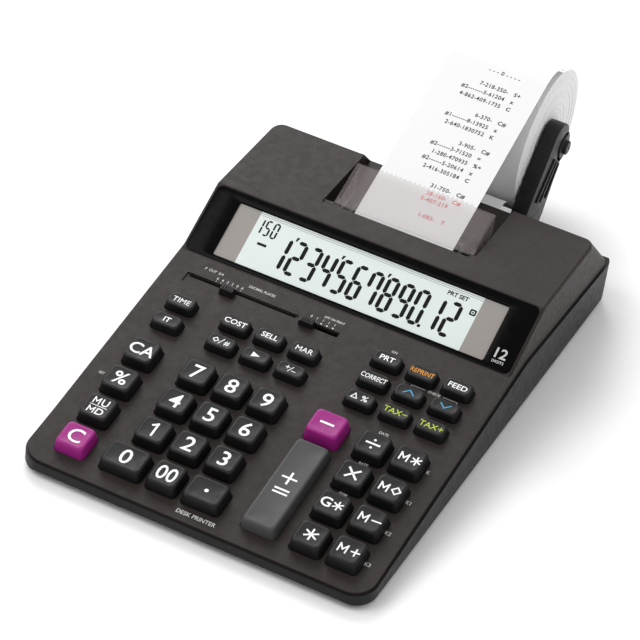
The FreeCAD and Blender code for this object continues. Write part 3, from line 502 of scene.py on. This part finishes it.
def signs(kind, size, stroke):
    """Strokes of a mathematical sign about the origin, as solids."""
    s = size / 2
    polygon = []
    if kind == "plus":
        lines = [(-s, 0, s, 0), (0, -s, 0, s)]
    elif kind == "minus":
        lines = [(-s, 0, s, 0)]
    elif kind == "equals":
        lines = [(-s, 0.36 * s, s, 0.36 * s), (-s, -0.36 * s, s, -0.36 * s)]
    elif kind == "times":
        lines = [(-0.8 * s, -0.8 * s, 0.8 * s, 0.8 * s), (-0.8 * s, 0.8 * s, 0.8 * s, -0.8 * s)]
    elif kind == "divide":
        lines = [(-s, 0, s, 0)]
    elif kind == "star":
        lines = [(-s * math.cos(a), -s * math.sin(a), s * math.cos(a), s * math.sin(a))
                 for a in (math.pi / 2, math.pi / 6, -math.pi / 6)]
    elif kind == "slash":
        lines = [(-0.5 * s, -s, 0.5 * s, s)]
    elif kind == "em":
        lines = [(-0.86 * s, -s, -0.86 * s, s), (-0.86 * s, s, 0, -0.3 * s),
                 (0, -0.3 * s, 0.86 * s, s), (0.86 * s, s, 0.86 * s, -s)]
    elif kind == "one":
        lines = [(0.15 * s, -s, 0.15 * s, s), (0.15 * s, s, -0.42 * s, 0.62 * s)]
    else:
        corners = {"diamond": [(0, s), (s, 0), (0, -s), (-s, 0)],
                   "delta": [(0, s), (s, -s), (-s, -s)],
                   "up": [(-s, -0.5 * s), (0, 0.5 * s), (s, -0.5 * s)],
                   "down": [(-s, 0.5 * s), (0, -0.5 * s), (s, 0.5 * s)],
                   "play": [(s, 0), (-s, 0.8 * s), (-s, -0.8 * s)]}[kind]
        if kind == "play":
            polygon = corners[::-1]
        closed = kind in ("diamond", "delta")
        ends = corners[1:] + corners[:1] if closed else corners[1:]
        lines = [] if kind == "play" else [(*a, *b) for a, b in zip(corners, ends)]
    solids = [bar(*line, stroke) for line in lines]
    if kind == "divide":
        solids += [prism(circle(0, side * 0.8 * s, 0.62 * stroke), 0, 0.05) for side in (-1, 1)]
    if polygon:
        solids.append(prism(polygon, 0, 0.05))
    return solids


def words(label, height, x=0.0, y=0.0, bold=0.12, spacing=1.0, stretch=1.0):
    return [(text(label, height, bold, spacing, stretch), (x, y, 0))]


def sign(kind, size, x=0.0, y=0.0, stroke=0.9):
    return [(solid, (x, y, 0)) for solid in signs(kind, size, stroke)]


def key_legends():
    """What each key shows: its marks and the ink."""
    small = {"time": "TIME", "item_count": "IT", "cost": "COST", "sell": "SELL", "margin": "MAR",
             "print": "PRT", "feed": "FEED"}
    legends = {f"key_{d}": (words(str(d), 9.0, bold=0.1), WHITE_INK) for d in range(10)}
    legends["key_1"] = (sign("one", 8.0, stroke=1.15), WHITE_INK)
    legends["key_00"] = (words("00", 8.8, bold=0.1, stretch=0.86), WHITE_INK)
    legends["key_point"] = ([(prism(circle(0, 0, 1.1), 0, 0.05), (0, 0, 0))], WHITE_INK)
    legends["key_clear_all"] = (words("CA", 7.0, spacing=0.98), WHITE_INK)
    legends["key_percent"] = (words("%", 8.0, bold=0.15), WHITE_INK)
    legends["key_mark_up"] = (sign("em", 3.7, x=-2.5, y=3.2, stroke=0.6)
                              + words("U", 4.3, x=2.3, y=3.2, bold=0.06)
                              + sign("em", 3.7, x=-2.5, y=-3.2, stroke=0.6)
                              + words("D", 4.3, x=2.3, y=-3.2, bold=0.06)
                              + sign("minus", 9.0, stroke=0.4), WHITE_INK)
    legends["key_clear"] = (words("C", 8.6, bold=0.08), WHITE_INK)
    legends["key_minus"] = (sign("minus", 6.4, stroke=1.3), WHITE_INK)
    legends["key_plus_equals"] = (sign("plus", 7.2, y=3.8, stroke=1.15)
                                  + sign("equals", 7.0, y=-5.6, stroke=1.15), WHITE_INK)
    legends["key_divide"] = (sign("divide", 6.8, stroke=1.15), WHITE_INK)
    legends["key_multiply"] = (sign("times", 7.2, stroke=1.15), WHITE_INK)
    legends["key_total"] = (sign("star", 6.8, stroke=0.95), WHITE_INK)
    legends["key_grand_total"] = (words("G", 5.8, x=-3.2) + sign("star", 5.2, x=3.2, stroke=0.75),
                                  WHITE_INK)
    memory = {"memory_plus": sign("plus", 4.2, x=4.0, stroke=0.8),
              "memory_minus": sign("minus", 4.6, x=4.2, stroke=0.8),
              "memory_subtotal": sign("diamond", 4.8, x=3.9, stroke=0.75),
              "memory_total": sign("star", 5.2, x=4.0, stroke=0.75)}
    for name, marks in memory.items():
        legends[f"key_{name}"] = (sign("em", 4.7, x=-2.7, stroke=0.8) + marks, WHITE_INK)
    for name, label in small.items():
        bold = 0.0 if "M" in label else 0.06
        legends[f"key_{name}"] = (words(label, 3.3, bold=bold), WHITE_INK)
    legends["key_correct"] = (words("CORRECT", 3.0, bold=0.04, stretch=0.72), WHITE_INK)
    legends["key_reprint"] = (words("REPRINT", 3.0, bold=0.04, stretch=0.78), ORANGE_INK)
    legends["key_change_percent"] = (sign("delta", 3.2, x=-3.2, stroke=0.5)
                                     + words("%", 3.6, x=2.4, bold=0.06), WHITE_INK)
    legends["key_tax_minus"] = (words("TAX", 3.4, x=-1.7, bold=0.06)
                                + sign("minus", 2.3, x=5.0, stroke=0.5), GREEN_INK)
    legends["key_tax_plus"] = (words("TAX", 3.4, x=-1.7, bold=0.06)
                               + sign("plus", 2.3, x=5.0, stroke=0.5), GREEN_INK)
    legends["key_check_up"] = (sign("up", 5.6, stroke=0.6), BLUE_INK)
    legends["key_check_down"] = (sign("down", 5.6, stroke=0.6), BLUE_INK)
    legends["key_backspace"] = (sign("play", 4.4), WHITE_INK)
    legends["key_sign"] = (sign("plus", 2.0, x=-2.0, y=0.9, stroke=0.4)
                           + sign("slash", 3.6, stroke=0.4)
                           + sign("minus", 2.0, x=2.0, y=-0.9, stroke=0.4), WHITE_INK)
    legends["key_non_add"] = (sign("diamond", 3.0, x=-3.2, stroke=0.5)
                              + sign("slash", 3.8, stroke=0.45)
                              + words("#", 3.2, x=3.2, bold=0.04), WHITE_INK)
    return legends


KEY_MATERIAL = {"key_black": KEY_BLACK, "key_magenta": KEY_MAGENTA, "key_grey": KEY_GREY}


def make_keys():
    for node, (marks, colour) in key_legends().items():
        cap = Cap(node)
        place = DECK @ Matrix.Translation((cap.x, cap.y, 0))
        Piece().add(loft(cap.rings())).build(
            node + "_cap", node, [KEY_MATERIAL[SLOT_OF[node]]], place, [node],
            sharp=40, record_slot=SLOT_OF[node])
        legend = Piece()
        for solid, shift in marks:
            legend.add(solid, shift=shift,
                       fit=lambda p, cap=cap: Vector((p.x, p.y, p.z + cap.top(p.x, p.y) + 0.02)))
        legend.build(node + "_legend", node, [colour], place)


# ---------------------------------------------------------------- display

SEGMENTS = {"a": (0, 1, 1, 1), "b": (1, 0.5, 1, 1), "c": (1, 0, 1, 0.5), "d": (0, 0, 1, 0),
            "e": (0, 0, 0, 0.5), "f": (0, 0.5, 0, 1), "g": (0, 0.5, 1, 0.5)}
DIGITS = {"0": "abcdef", "1": "bc", "2": "abged", "3": "abgcd", "4": "fgbc", "5": "afgcd",
          "6": "afgedc", "7": "fabc", "8": "abcdefg", "9": "abcdfg"}
BEZEL_LENGTH, BEZEL_HEIGHT, BEZEL_CORNER, BEZEL_DEPTH = 188.8, 41.4, 3.4, 1.6
WINDOW_LENGTH, WINDOW_HEIGHT, WINDOW_CORNER, WINDOW_SHIFT = 158.0, 33.4, 1.2, -1.2
LCD_LENGTH, LCD_HEIGHT, LCD_SHIFT = 166.0, 33.0, -1.4
LCD_BOTTOM, LCD_TOP = -4.9, -0.9
LCD_ACTIVE = (-66.0, 65.0)
DIGIT_PITCH, DIGIT_WIDTH, DIGIT_HEIGHT, DIGIT_STROKE = 9.02, 7.4, 21.0, 2.2
FIRST_DIGIT_X, DIGIT_BASE = -49.6, -13.7


def seven_segment(piece, digit, x, y, width, height, stroke):
    """One digit of pointed bars, its lower left corner at x, y."""
    gap = stroke * 0.09
    for name in DIGITS[digit]:
        x0, y0, x1, y1 = SEGMENTS[name]
        ends = [Vector((x + stroke / 2 + u * (width - stroke), y + stroke / 2 + v * (height - stroke)))
                for u, v in ((x0, y0), (x1, y1))]
        along = (ends[1] - ends[0]).normalized()
        side = Vector((-along.y, along.x)) * stroke / 2
        a, b = ends[0] + along * gap, ends[1] - along * gap
        inner_a, inner_b = a + along * stroke / 2, b - along * stroke / 2
        outline = [a, inner_a - side, inner_b - side, b, inner_b + side, inner_a + side]
        piece.add(prism(outline, 0, 0.03))


def make_display():
    """Black glossy frame round the display, with the glass just below it."""
    outer = rounded(BEZEL_LENGTH, BEZEL_HEIGHT, BEZEL_CORNER)
    hole = [(x, y + WINDOW_SHIFT)
            for x, y in rounded(WINDOW_LENGTH, WINDOW_HEIGHT, WINDOW_CORNER)]
    bezel = Piece().add(ring_plate(outer, hole, -BEZEL_DEPTH, 0.0))
    bezel.build("display_bezel", "root", [BEZEL], PANEL, ["display_window"], bevel=0.25,
                      record_slot="display_lens")

    glass = Piece()
    left, right = LCD_ACTIVE
    low, high = LCD_SHIFT - LCD_HEIGHT / 2, LCD_SHIFT + LCD_HEIGHT / 2
    glass.add(block(-LCD_LENGTH / 2, left, low, high, LCD_BOTTOM, LCD_TOP), 1)
    glass.add(block(left, right, low, high, LCD_BOTTOM, LCD_TOP), 0)
    glass.add(block(right, LCD_LENGTH / 2, low, high, LCD_BOTTOM, LCD_TOP), 1)
    # Two dark lines along the top of the LCD: painted shadow cast by the display frame's inner edge.
    for shift in (0.9, 2.0):
        glass.add(bar(-78, high - shift, 78, high - shift, 0.3, LCD_TOP, LCD_TOP + 0.02), 2)
    glass.build("lcd_glass", "root", [LCD_FACE, LCD_SIDE, LCD_EDGE_SHADOW], PANEL, ["lcd_panel"],
                record_slot="lcd_glass")

    marks = Piece()
    for place, digit in enumerate("123456789012"):
        seven_segment(marks, digit, FIRST_DIGIT_X + place * DIGIT_PITCH, DIGIT_BASE, DIGIT_WIDTH,
                      DIGIT_HEIGHT, DIGIT_STROKE)
    for place in (1, 4, 7):
        x = FIRST_DIGIT_X + place * DIGIT_PITCH - 1.0
        marks.add(prism([(x - 0.1, 6.4), (x + 0.7, 6.0), (x + 1.7, 8.6), (x + 0.2, 8.6)], 0, 0.03))
    point_x = FIRST_DIGIT_X + 10 * DIGIT_PITCH - 0.9
    marks.add(prism(circle(point_x, DIGIT_BASE + 0.9, 0.95), 0, 0.03))
    for place, digit in enumerate("150"):
        seven_segment(marks, digit, -65.0 + 4.5 * place, 2.3, 3.5, 9.6, 1.0)
    marks.add(bar(-59.3, -2.7, -55.4, -2.7, 1.5, 0, 0.03))
    marks.add(text("PRT SET", 2.3, 0.1, thick=0.03), shift=(51.5, 10.8, 0))
    marks.add(ring_plate(rounded(3.6, 3.6, 0.8), rounded(1.9, 1.9, 0.5), 0, 0.03),
              shift=(62.6, 5.0, 0))
    marks.add(prism(circle(62.6, 5.0, 0.5), 0, 0.03))
    marks.build("lcd_digits", "root", [SEGMENT], PANEL @ Matrix.Translation((0, 0, LCD_TOP + 0.01)))

    badge = Piece()
    badge.add(text("12", 5.6, 0.12, thick=0.04), shift=(86.4, -11.0, 0))
    badge.add(text("DIGITS", 1.5, 0.03, thick=0.04), shift=(86.4, -15.9, 0))
    badge.build("panel_badge", "root", [GREY_INK], PANEL @ Matrix.Translation((0, 0, 0.01)))


# ---------------------------------------------------------------- deck markings and switches

def make_deck_markings():
    """Small printed captions and the scales of the two slide switches."""
    marks = Piece()

    def caption(label, height, x, y, align="middle", stretch=0.9, bold=0.03):
        marks.add(text(label, height, bold, stretch=stretch, align=align), shift=(x, y, 0))

    caption("ON", 1.6, 36.6, 153.0)
    caption("SET", 1.6, -87.5, 67.5)
    for label, x, y in (("DATE", 56.8, 100.0), ("RATE", 56.8, 77.0), ("ITEM", 56.8, 54.6)):
        caption(label, 1.6, x, y)
    for label, y in (("K", 87.7), ("K1", 65.3), ("K2", 42.9), ("K3", 20.6)):
        caption(label, 2.2, 87.5, y, bold=0.05)
    caption("CHECK", 1.6, 67.0, 136.9)
    for x0, x1 in ((54.2, 61.8), (72.2, 80.0)):
        marks.add(bar(x0, 136.9, x1, 136.9, 0.25))
    for x in (54.2, 80.0):
        marks.add(bar(x, 135.9, x, 136.9, 0.25))
    caption("DESK PRINTER", 2.4, 0.9, 6.2, bold=0.06, stretch=0.95)
    caption("F  CUT  5/4", 1.7, -77.5, 159.0, "left")
    for step, label in enumerate("64320A"):
        x = -68.0 + 2.9 * step
        caption(label, 1.7, x, 155.3)
        marks.add(bar(x, 152.8, x, 153.6, 0.25))
    caption("DECIMAL PLACES", 1.7, -51.0, 158.4, "left", stretch=0.8)
    for step in range(5):
        x = -12.6 + 3.4 * step
        caption("0" if step == 0 else "I", 1.7, x, 155.2)
        marks.add(prism(circle(x, 152.6, 0.55, 10), 0, 0.05))
    caption("OFF ON PRINT", 1.5, -6.5, 158.2, "left", stretch=0.8)
    marks.build("deck_markings", "root", [GREY_INK], DECK @ Matrix.Translation((0, 0, 0.01)))


def make_switch_grips():
    """Finger ridges on the two slide knobs."""
    for node in ("rounding_switch", "mode_switch"):
        low, high = deck_extent(node)
        middle, top = (low.x + high.x) / 2, high.z
        ridges = Piece()
        for step in range(-2, 3):
            x = middle + step * 1.25
            ridges.add(block(x - 0.35, x + 0.35, 146.5, 150.5, top - 0.3, top + 0.45))
        ridges.build(node + "_grip", node, [SWITCH], DECK, bevel=0.18)


# ---------------------------------------------------------------- paper

ALONG = Vector((math.cos(STRIP_TILT), math.sin(STRIP_TILT)))
ACROSS = Vector((-math.sin(STRIP_TILT), math.cos(STRIP_TILT)))
START = Vector((STRIP_Y, STRIP_Z))
ROLL_CENTRE = Vector((ROLL_Y, ROLL_Z))
WRAP_RADIUS = 6.55
PLATEN_CENTRE = START - ACROSS * WRAP_RADIUS


def around(centre, radius, degrees):
    angle = math.radians(degrees)
    return centre + radius * Vector((math.cos(angle), math.sin(angle)))


def arc(centre, radius, start, end, steps):
    return [around(centre, radius, start + (end - start) * i / steps) for i in range(steps + 1)]


def paper_path():
    """The paper from its free end over the roll, down to the platen, and back to the roll."""
    lean = 90 + math.degrees(STRIP_TILT)
    straight = START + ALONG * STRIP_LENGTH
    path = arc(straight - ACROSS * STRIP_CURL, STRIP_CURL, STRIP_END, lean, 24)
    path += [straight + (START - straight) * i / 20 for i in range(1, 20)]
    path += arc(PLATEN_CENTRE, WRAP_RADIUS, lean, 270, 20)
    bend = Vector((293, path[-1].y - 8))
    path += arc(bend, 8, 90, 30, 8)
    path.append(around(ROLL_CENTRE, ROLL_RADIUS + 0.9, 232))
    return path


def band(path, left, right, thick):
    """A strip of sheet with some thickness, following a path in the side view."""
    columns = 12
    normals = []
    for i in range(len(path)):
        ahead, behind = path[min(i + 1, len(path) - 1)], path[max(i - 1, 0)]
        along = (ahead - behind).normalized()
        normals.append(Vector((-along.y, along.x)))
    points = []
    for side in (thick / 2, -thick / 2):
        for here, normal in zip(path, normals):
            spot = here + normal * side
            points += [(left + (right - left) * c / columns, spot.x, spot.y)
                       for c in range(columns + 1)]
    row, layer = columns + 1, (columns + 1) * len(path)
    faces = []
    for i in range(len(path) - 1):
        for c in range(columns):
            a = i * row + c
            faces.append([a, a + 1, a + row + 1, a + row])
            faces.append([layer + a, layer + a + row, layer + a + row + 1, layer + a + 1])
        for c in (0, columns):
            a = i * row + c
            faces.append([a, a + row, layer + a + row, layer + a])
    for i in (0, len(path) - 1):
        for c in range(columns):
            a = i * row + c
            faces.append([a, a + 1, layer + a + 1, layer + a])
    return points, faces


LINE_PITCH, FIRST_LINE = 5.15, 31.5
PRINTED = ((0, "31-750-", "C#"), (2, "2-416-305184", "C"), (3, "#2------5-20614", "x"),
           (4, "1-280-470935", "%+"), (5, "#2------3-71520", "="), (6, "3-905-", "C#"),
           (8, "2-640-1830752", "K"), (9, "#1-------8-13925", "x"), (10, "6-370-", "C#"),
           (12, "4-862-409-1735", "C"), (13, "#2-------5-61204", "x"),
           (14, "7-218-350-", "S+"), (16, "- - - 0 - - - -", ""))
PRINTED_UNDER_COVER = ((-1, "28-160-", "C#"), (-1.8, "5-407-219", ""), (-3.8, "1-083-", "T"))


def make_paper():
    left, right = PAPER_X - PAPER_WIDTH / 2, PAPER_X + PAPER_WIDTH / 2
    Piece().add(band(paper_path(), left, right, 0.14)).build(
        "paper_band", "root", [PAPER], CASE, ["paper_strip"], sharp=50, record_slot="paper")
    rows = Piece()
    for ink_slot, lines in ((0, PRINTED), (1, PRINTED_UNDER_COVER)):
        for line, number, mark in lines:
            s = FIRST_LINE + line * LINE_PITCH
            end = 17.0 if mark else 19.5
            rows.add(text(number, 2.5, 0.07, 1.12, 0.92, 0.03, "right"), ink_slot, (end, s, 0))
            if mark:
                rows.add(text(mark, 2.4, 0.09, 1.12, 1.0, 0.03, "left"), ink_slot, (20.6, s, 0))
    rows.build("printed_rows", "root", [PRINT_BLACK, PRINT_RED],
               STRIP @ Matrix.Translation((0, 0, 0.09)))


def make_roll():
    """A wound roll: fine steps between its layers on the end faces, and a cardboard core."""
    left, right = PAPER_X - PAPER_WIDTH / 2, PAPER_X + PAPER_WIDTH / 2
    core_wall = 1.6
    inner = CORE_RADIUS + core_wall
    steps = 26
    radii = [inner + (ROLL_RADIUS - inner) * i / steps for i in range(steps + 1)]
    face = []
    for i, radius in enumerate(radii[:-1]):
        depth = 0.16 * math.sin(i * 2.1) + 0.10 * math.sin(i * 0.83 + 1)
        face += [(depth, radius + 0.02), (depth, radii[i + 1] - 0.02)]
    profile = [(left + 0.3 + d, r) for d, r in face] + [(right - 0.3 - d, r) for d, r in face[::-1]]
    # The wound paper uses the brighter paper colour, painted light on the roll.
    Piece().add(turned(profile, (ROLL_Y, ROLL_Z))).build(
        "wound_paper", "paper_roll", [PAPER_END_LIT], CASE, ["paper_roll"], sharp=25,
        record_slot="paper")
    core = [(left + 0.1, CORE_RADIUS), (left + 0.1, inner), (right - 0.1, inner),
            (right - 0.1, CORE_RADIUS)]
    Piece().add(turned(core, (ROLL_Y, ROLL_Z))).build("roll_core", "paper_roll", [CARDBOARD])


# ---------------------------------------------------------------- roll holder

ARM_THICKNESS, ARM_GAP = 9.0, 0.8
TIP, TIP_RADIUS = Vector((343, 60.5)), 12.0
CHIN, HEEL = Vector((303.8, 31)), Vector((334, 18))
CROSSBAR_Z, REAR_FACE = 6.0, 311.35


def side_tangent(point, side):
    """Angle on the round tip where a line from a point touches it."""
    away = TIP - point
    lean = math.atan2(away.y, away.x) + side * math.asin(TIP_RADIUS / away.length)
    return math.degrees(lean) + side * 90


def arm_outline():
    front, rear = side_tangent(CHIN, 1), side_tangent(HEEL, -1)
    outline = [(REAR_FACE, CROSSBAR_Z), (REAR_FACE, 15.5), (CHIN.x + 1.6, CHIN.y - 2.4), CHIN]
    outline += arc(TIP, TIP_RADIUS, front, rear, 18)
    return outline + [HEEL, (323, CROSSBAR_Z)]


def side_plate(outline, x0, x1):
    """A plate whose side view is given, between two X."""
    return loft([[(x0, p[0], p[1]) for p in outline], [(x1, p[0], p[1]) for p in outline]])


def ribs(face_x, outward):
    """Long ribs on an arm's outer face, following it from heel to tip."""
    solids = []
    lower, upper = (CHIN + HEEL) / 2 + Vector((4, 6)), TIP + Vector((-2, -10))
    along = (upper - lower).normalized()
    side = Vector((-along.y, along.x))
    for shift, trim in ((-7.2, 6.0), (0.0, 2.0), (6.6, 0.0)):
        a, b = lower + side * shift + along * trim, upper + side * shift * 0.75
        outline = [a - side * 1.1, b - side * 0.9, b + side * 0.9, a + side * 1.1]
        solids.append(side_plate(outline, face_x - 0.2 * outward, face_x + 1.1 * outward))
    return solids


def make_holder():
    left, right = PAPER_X - PAPER_WIDTH / 2 - ARM_GAP, PAPER_X + PAPER_WIDTH / 2 + ARM_GAP
    arms = Piece()
    for inner, outward in ((left, -1), (right, 1)):
        outer = inner + outward * ARM_THICKNESS
        arms.add(side_plate(arm_outline(), inner, outer))
        for rib in ribs(outer, outward):
            arms.add(rib)
        stub = [(inner - outward * 12.0, 0.5), (inner - outward * 12.0, 5.2),
                (inner - outward * 11.2, 6.0), (inner, 6.0), (inner, 0.5)]
        arms.add(turned(stub, (ROLL_Y, ROLL_Z), 40))
        boss = [(inner, 0.5), (inner, 9.0), (outer, 9.0), (outer, 0.5)]
        arms.add(turned(boss, (ROLL_Y, ROLL_Z), 40))
        collar = [(outer - outward * 0.5, 0.5), (outer - outward * 0.5, 7.2),
                  (outer + outward * 0.7, 6.7), (outer + outward * 0.7, 4.4),
                  (outer + outward * 2.6, 4.1), (outer + outward * 3.0, 3.5),
                  (outer + outward * 3.0, 0.5)]
        arms.add(turned(collar, (ROLL_Y, ROLL_Z), 40))
    arms.add(block(left - 8, right + 8, REAR_FACE, REAR_FACE + 5, CROSSBAR_Z, CROSSBAR_Z + 14))
    for x in (-22, 22):
        arms.add(block(PAPER_X + x - 5, PAPER_X + x + 5, 305.9, 313, 9, 12))
    arms.build("holder_arms", "root", [HOLDER], CASE, ["roll_holder"], bevel=0.7,
               record_slot="holder")


# ---------------------------------------------------------------- underside

def make_feet():
    """Rubber feet with a rounded edge and a shallow dimple."""
    feet = Piece()
    for x in (-FOOT_X, FOOT_X):
        for y in FOOT_ROWS:
            rings = []
            for inset, z in ((1.8, 0.25), (1.4, 0.0), (0.5, 0.0), (0.15, 0.15), (0, 0.5),
                             (0, CASE_UNDERSIDE)):
                radius = FOOT_RADIUS - inset
                rings.append([(px, py, z) for px, py in circle(x, y, radius, 32)])
            feet.add(loft(rings))
    feet.build("feet", "root", [RUBBER], CASE, ["rubber_feet"], record_slot="rubber")


def make_underside_details():
    """Grip ridges and an arrow on the battery cover, and two ribbed fields on the base."""
    sunk, buried = CASE_UNDERSIDE - 0.25, CASE_UNDERSIDE + 0.05
    ridges = Piece()
    for step in range(7):
        y = 232 + 2.2 * step
        ridges.add(block(-12, 12, y, y + 1.0, sunk, buried))
    ridges.add(prism([(-4, 252), (4, 252), (0, 258)], CASE_UNDERSIDE - 0.2, buried))
    ridges.build("battery_cover_grip", "battery_cover", [LOWER], CASE, record_slot="lower_shell")
    vents = Piece()
    for step in range(8):
        x = -70 + 5 * step
        vents.add(block(x, x + 2.2, 120, 160, sunk, buried))
        vents.add(block(-x - 2.2, -x, 120, 160, sunk, buried))
    vents.build("base_ribs", "root", [LOWER], CASE, record_slot="lower_shell")


# ---------------------------------------------------------------- the CAD nodes that stay

NODE_MATERIAL = {
    "upper_case": UPPER, "lower_case": LOWER, "battery_cover": LOWER, "circuit_board": BOARD,
    "key_mat": SILICONE, "rounding_switch": SWITCH, "mode_switch": SWITCH, "case_screws": STEEL,
    "platen_roller": RUBBER, "printer_mechanism": MECHANISM, "printer_cover": CLEAR,
}


def dress_nodes():
    for name, material in NODE_MATERIAL.items():
        node = NODES[name]
        node.data.materials.clear()
        node.data.materials.append(material)


# ---------------------------------------------------------------- floor, light and camera

def make_stage():
    mesh = bpy.data.meshes.new("floor")
    size = 4.0
    mesh.from_pydata([(-size, -size, 0), (size, -size, 0), (size, size, 0), (-size, size, 0)], [],
                     [(0, 1, 2, 3)])
    floor = bpy.data.objects.new("floor", mesh)
    bpy.context.scene.collection.objects.link(floor)
    material, tree, shader = new_material("floor")
    tone = between(tree, noise(tree, 3.0), (0.90, 0.90, 0.90), (0.92, 0.92, 0.92))
    tree.links.new(tone, shader.inputs["Base Color"])
    shader.inputs["Roughness"].default_value = 0.95
    mesh.materials.append(material)

    world = bpy.data.worlds.new("studio")
    world.use_nodes = True
    world.node_tree.nodes["Background"].inputs["Color"].default_value = (1, 1, 1, 1)
    world.node_tree.nodes["Background"].inputs["Strength"].default_value = 0.8
    bpy.context.scene.world = world

    def softbox(name, place, size_x, size_y, power, target=(0, 0, 0.03)):
        light = bpy.data.lights.new(name, "AREA")
        light.shape = "RECTANGLE"
        light.size, light.size_y = size_x, size_y
        light.energy = power
        lamp = bpy.data.objects.new(name, light)
        bpy.context.scene.collection.objects.link(lamp)
        lamp.location = place
        lamp.rotation_mode = "QUATERNION"
        lamp.rotation_quaternion = (Vector(place) - Vector(target)).to_track_quat("Z", "Y")

    softbox("key_light", (-0.75, -0.55, 1.25), 0.9, 0.9, 8.0)
    softbox("back_light", (-0.80, 0.95, 1.15), 0.9, 0.9, 16.0)
    bpy.context.scene.view_settings.view_transform = "Standard"


CAMERA_ANGLES = (21.69, 37.38, 8.10)
CAMERA_AIM = Vector((0, 142 + FRONT, 35))
CAMERA_DISTANCE, CAMERA_SIDE, CAMERA_RISE, CAMERA_LENS = 1583.75, -1.84, 8.79, 172.74


def make_camera():
    """A long lens, turned, raised and rolled by the three angles, aimed at the key deck."""
    azimuth, elevation, roll = (math.radians(a) for a in CAMERA_ANGLES)
    back = Vector((math.sin(azimuth) * math.cos(elevation),
                   -math.cos(azimuth) * math.cos(elevation), math.sin(elevation)))
    level = Vector((math.cos(azimuth), math.sin(azimuth), 0))
    upward = back.cross(level)
    right = level * math.cos(roll) + upward * math.sin(roll)
    up = upward * math.cos(roll) - level * math.sin(roll)
    place = CAMERA_AIM + back * CAMERA_DISTANCE + right * CAMERA_SIDE + up * CAMERA_RISE
    data = bpy.data.cameras.new("camera")
    data.sensor_width = 36.0
    data.lens = CAMERA_LENS
    data.clip_end = 20.0
    camera = bpy.data.objects.new("camera", data)
    bpy.context.scene.collection.objects.link(camera)
    turn = Matrix((right, up, back)).transposed().to_4x4()
    camera.matrix_world = Matrix.Translation(place * MM) @ turn
    bpy.context.scene.camera = camera


make_camera()
make_stage()
dress_nodes()
make_keys()
make_display()
make_deck_markings()
make_switch_grips()
make_paper()
make_roll()
make_holder()
make_feet()
make_underside_details()

bpy.context.view_layer.update()
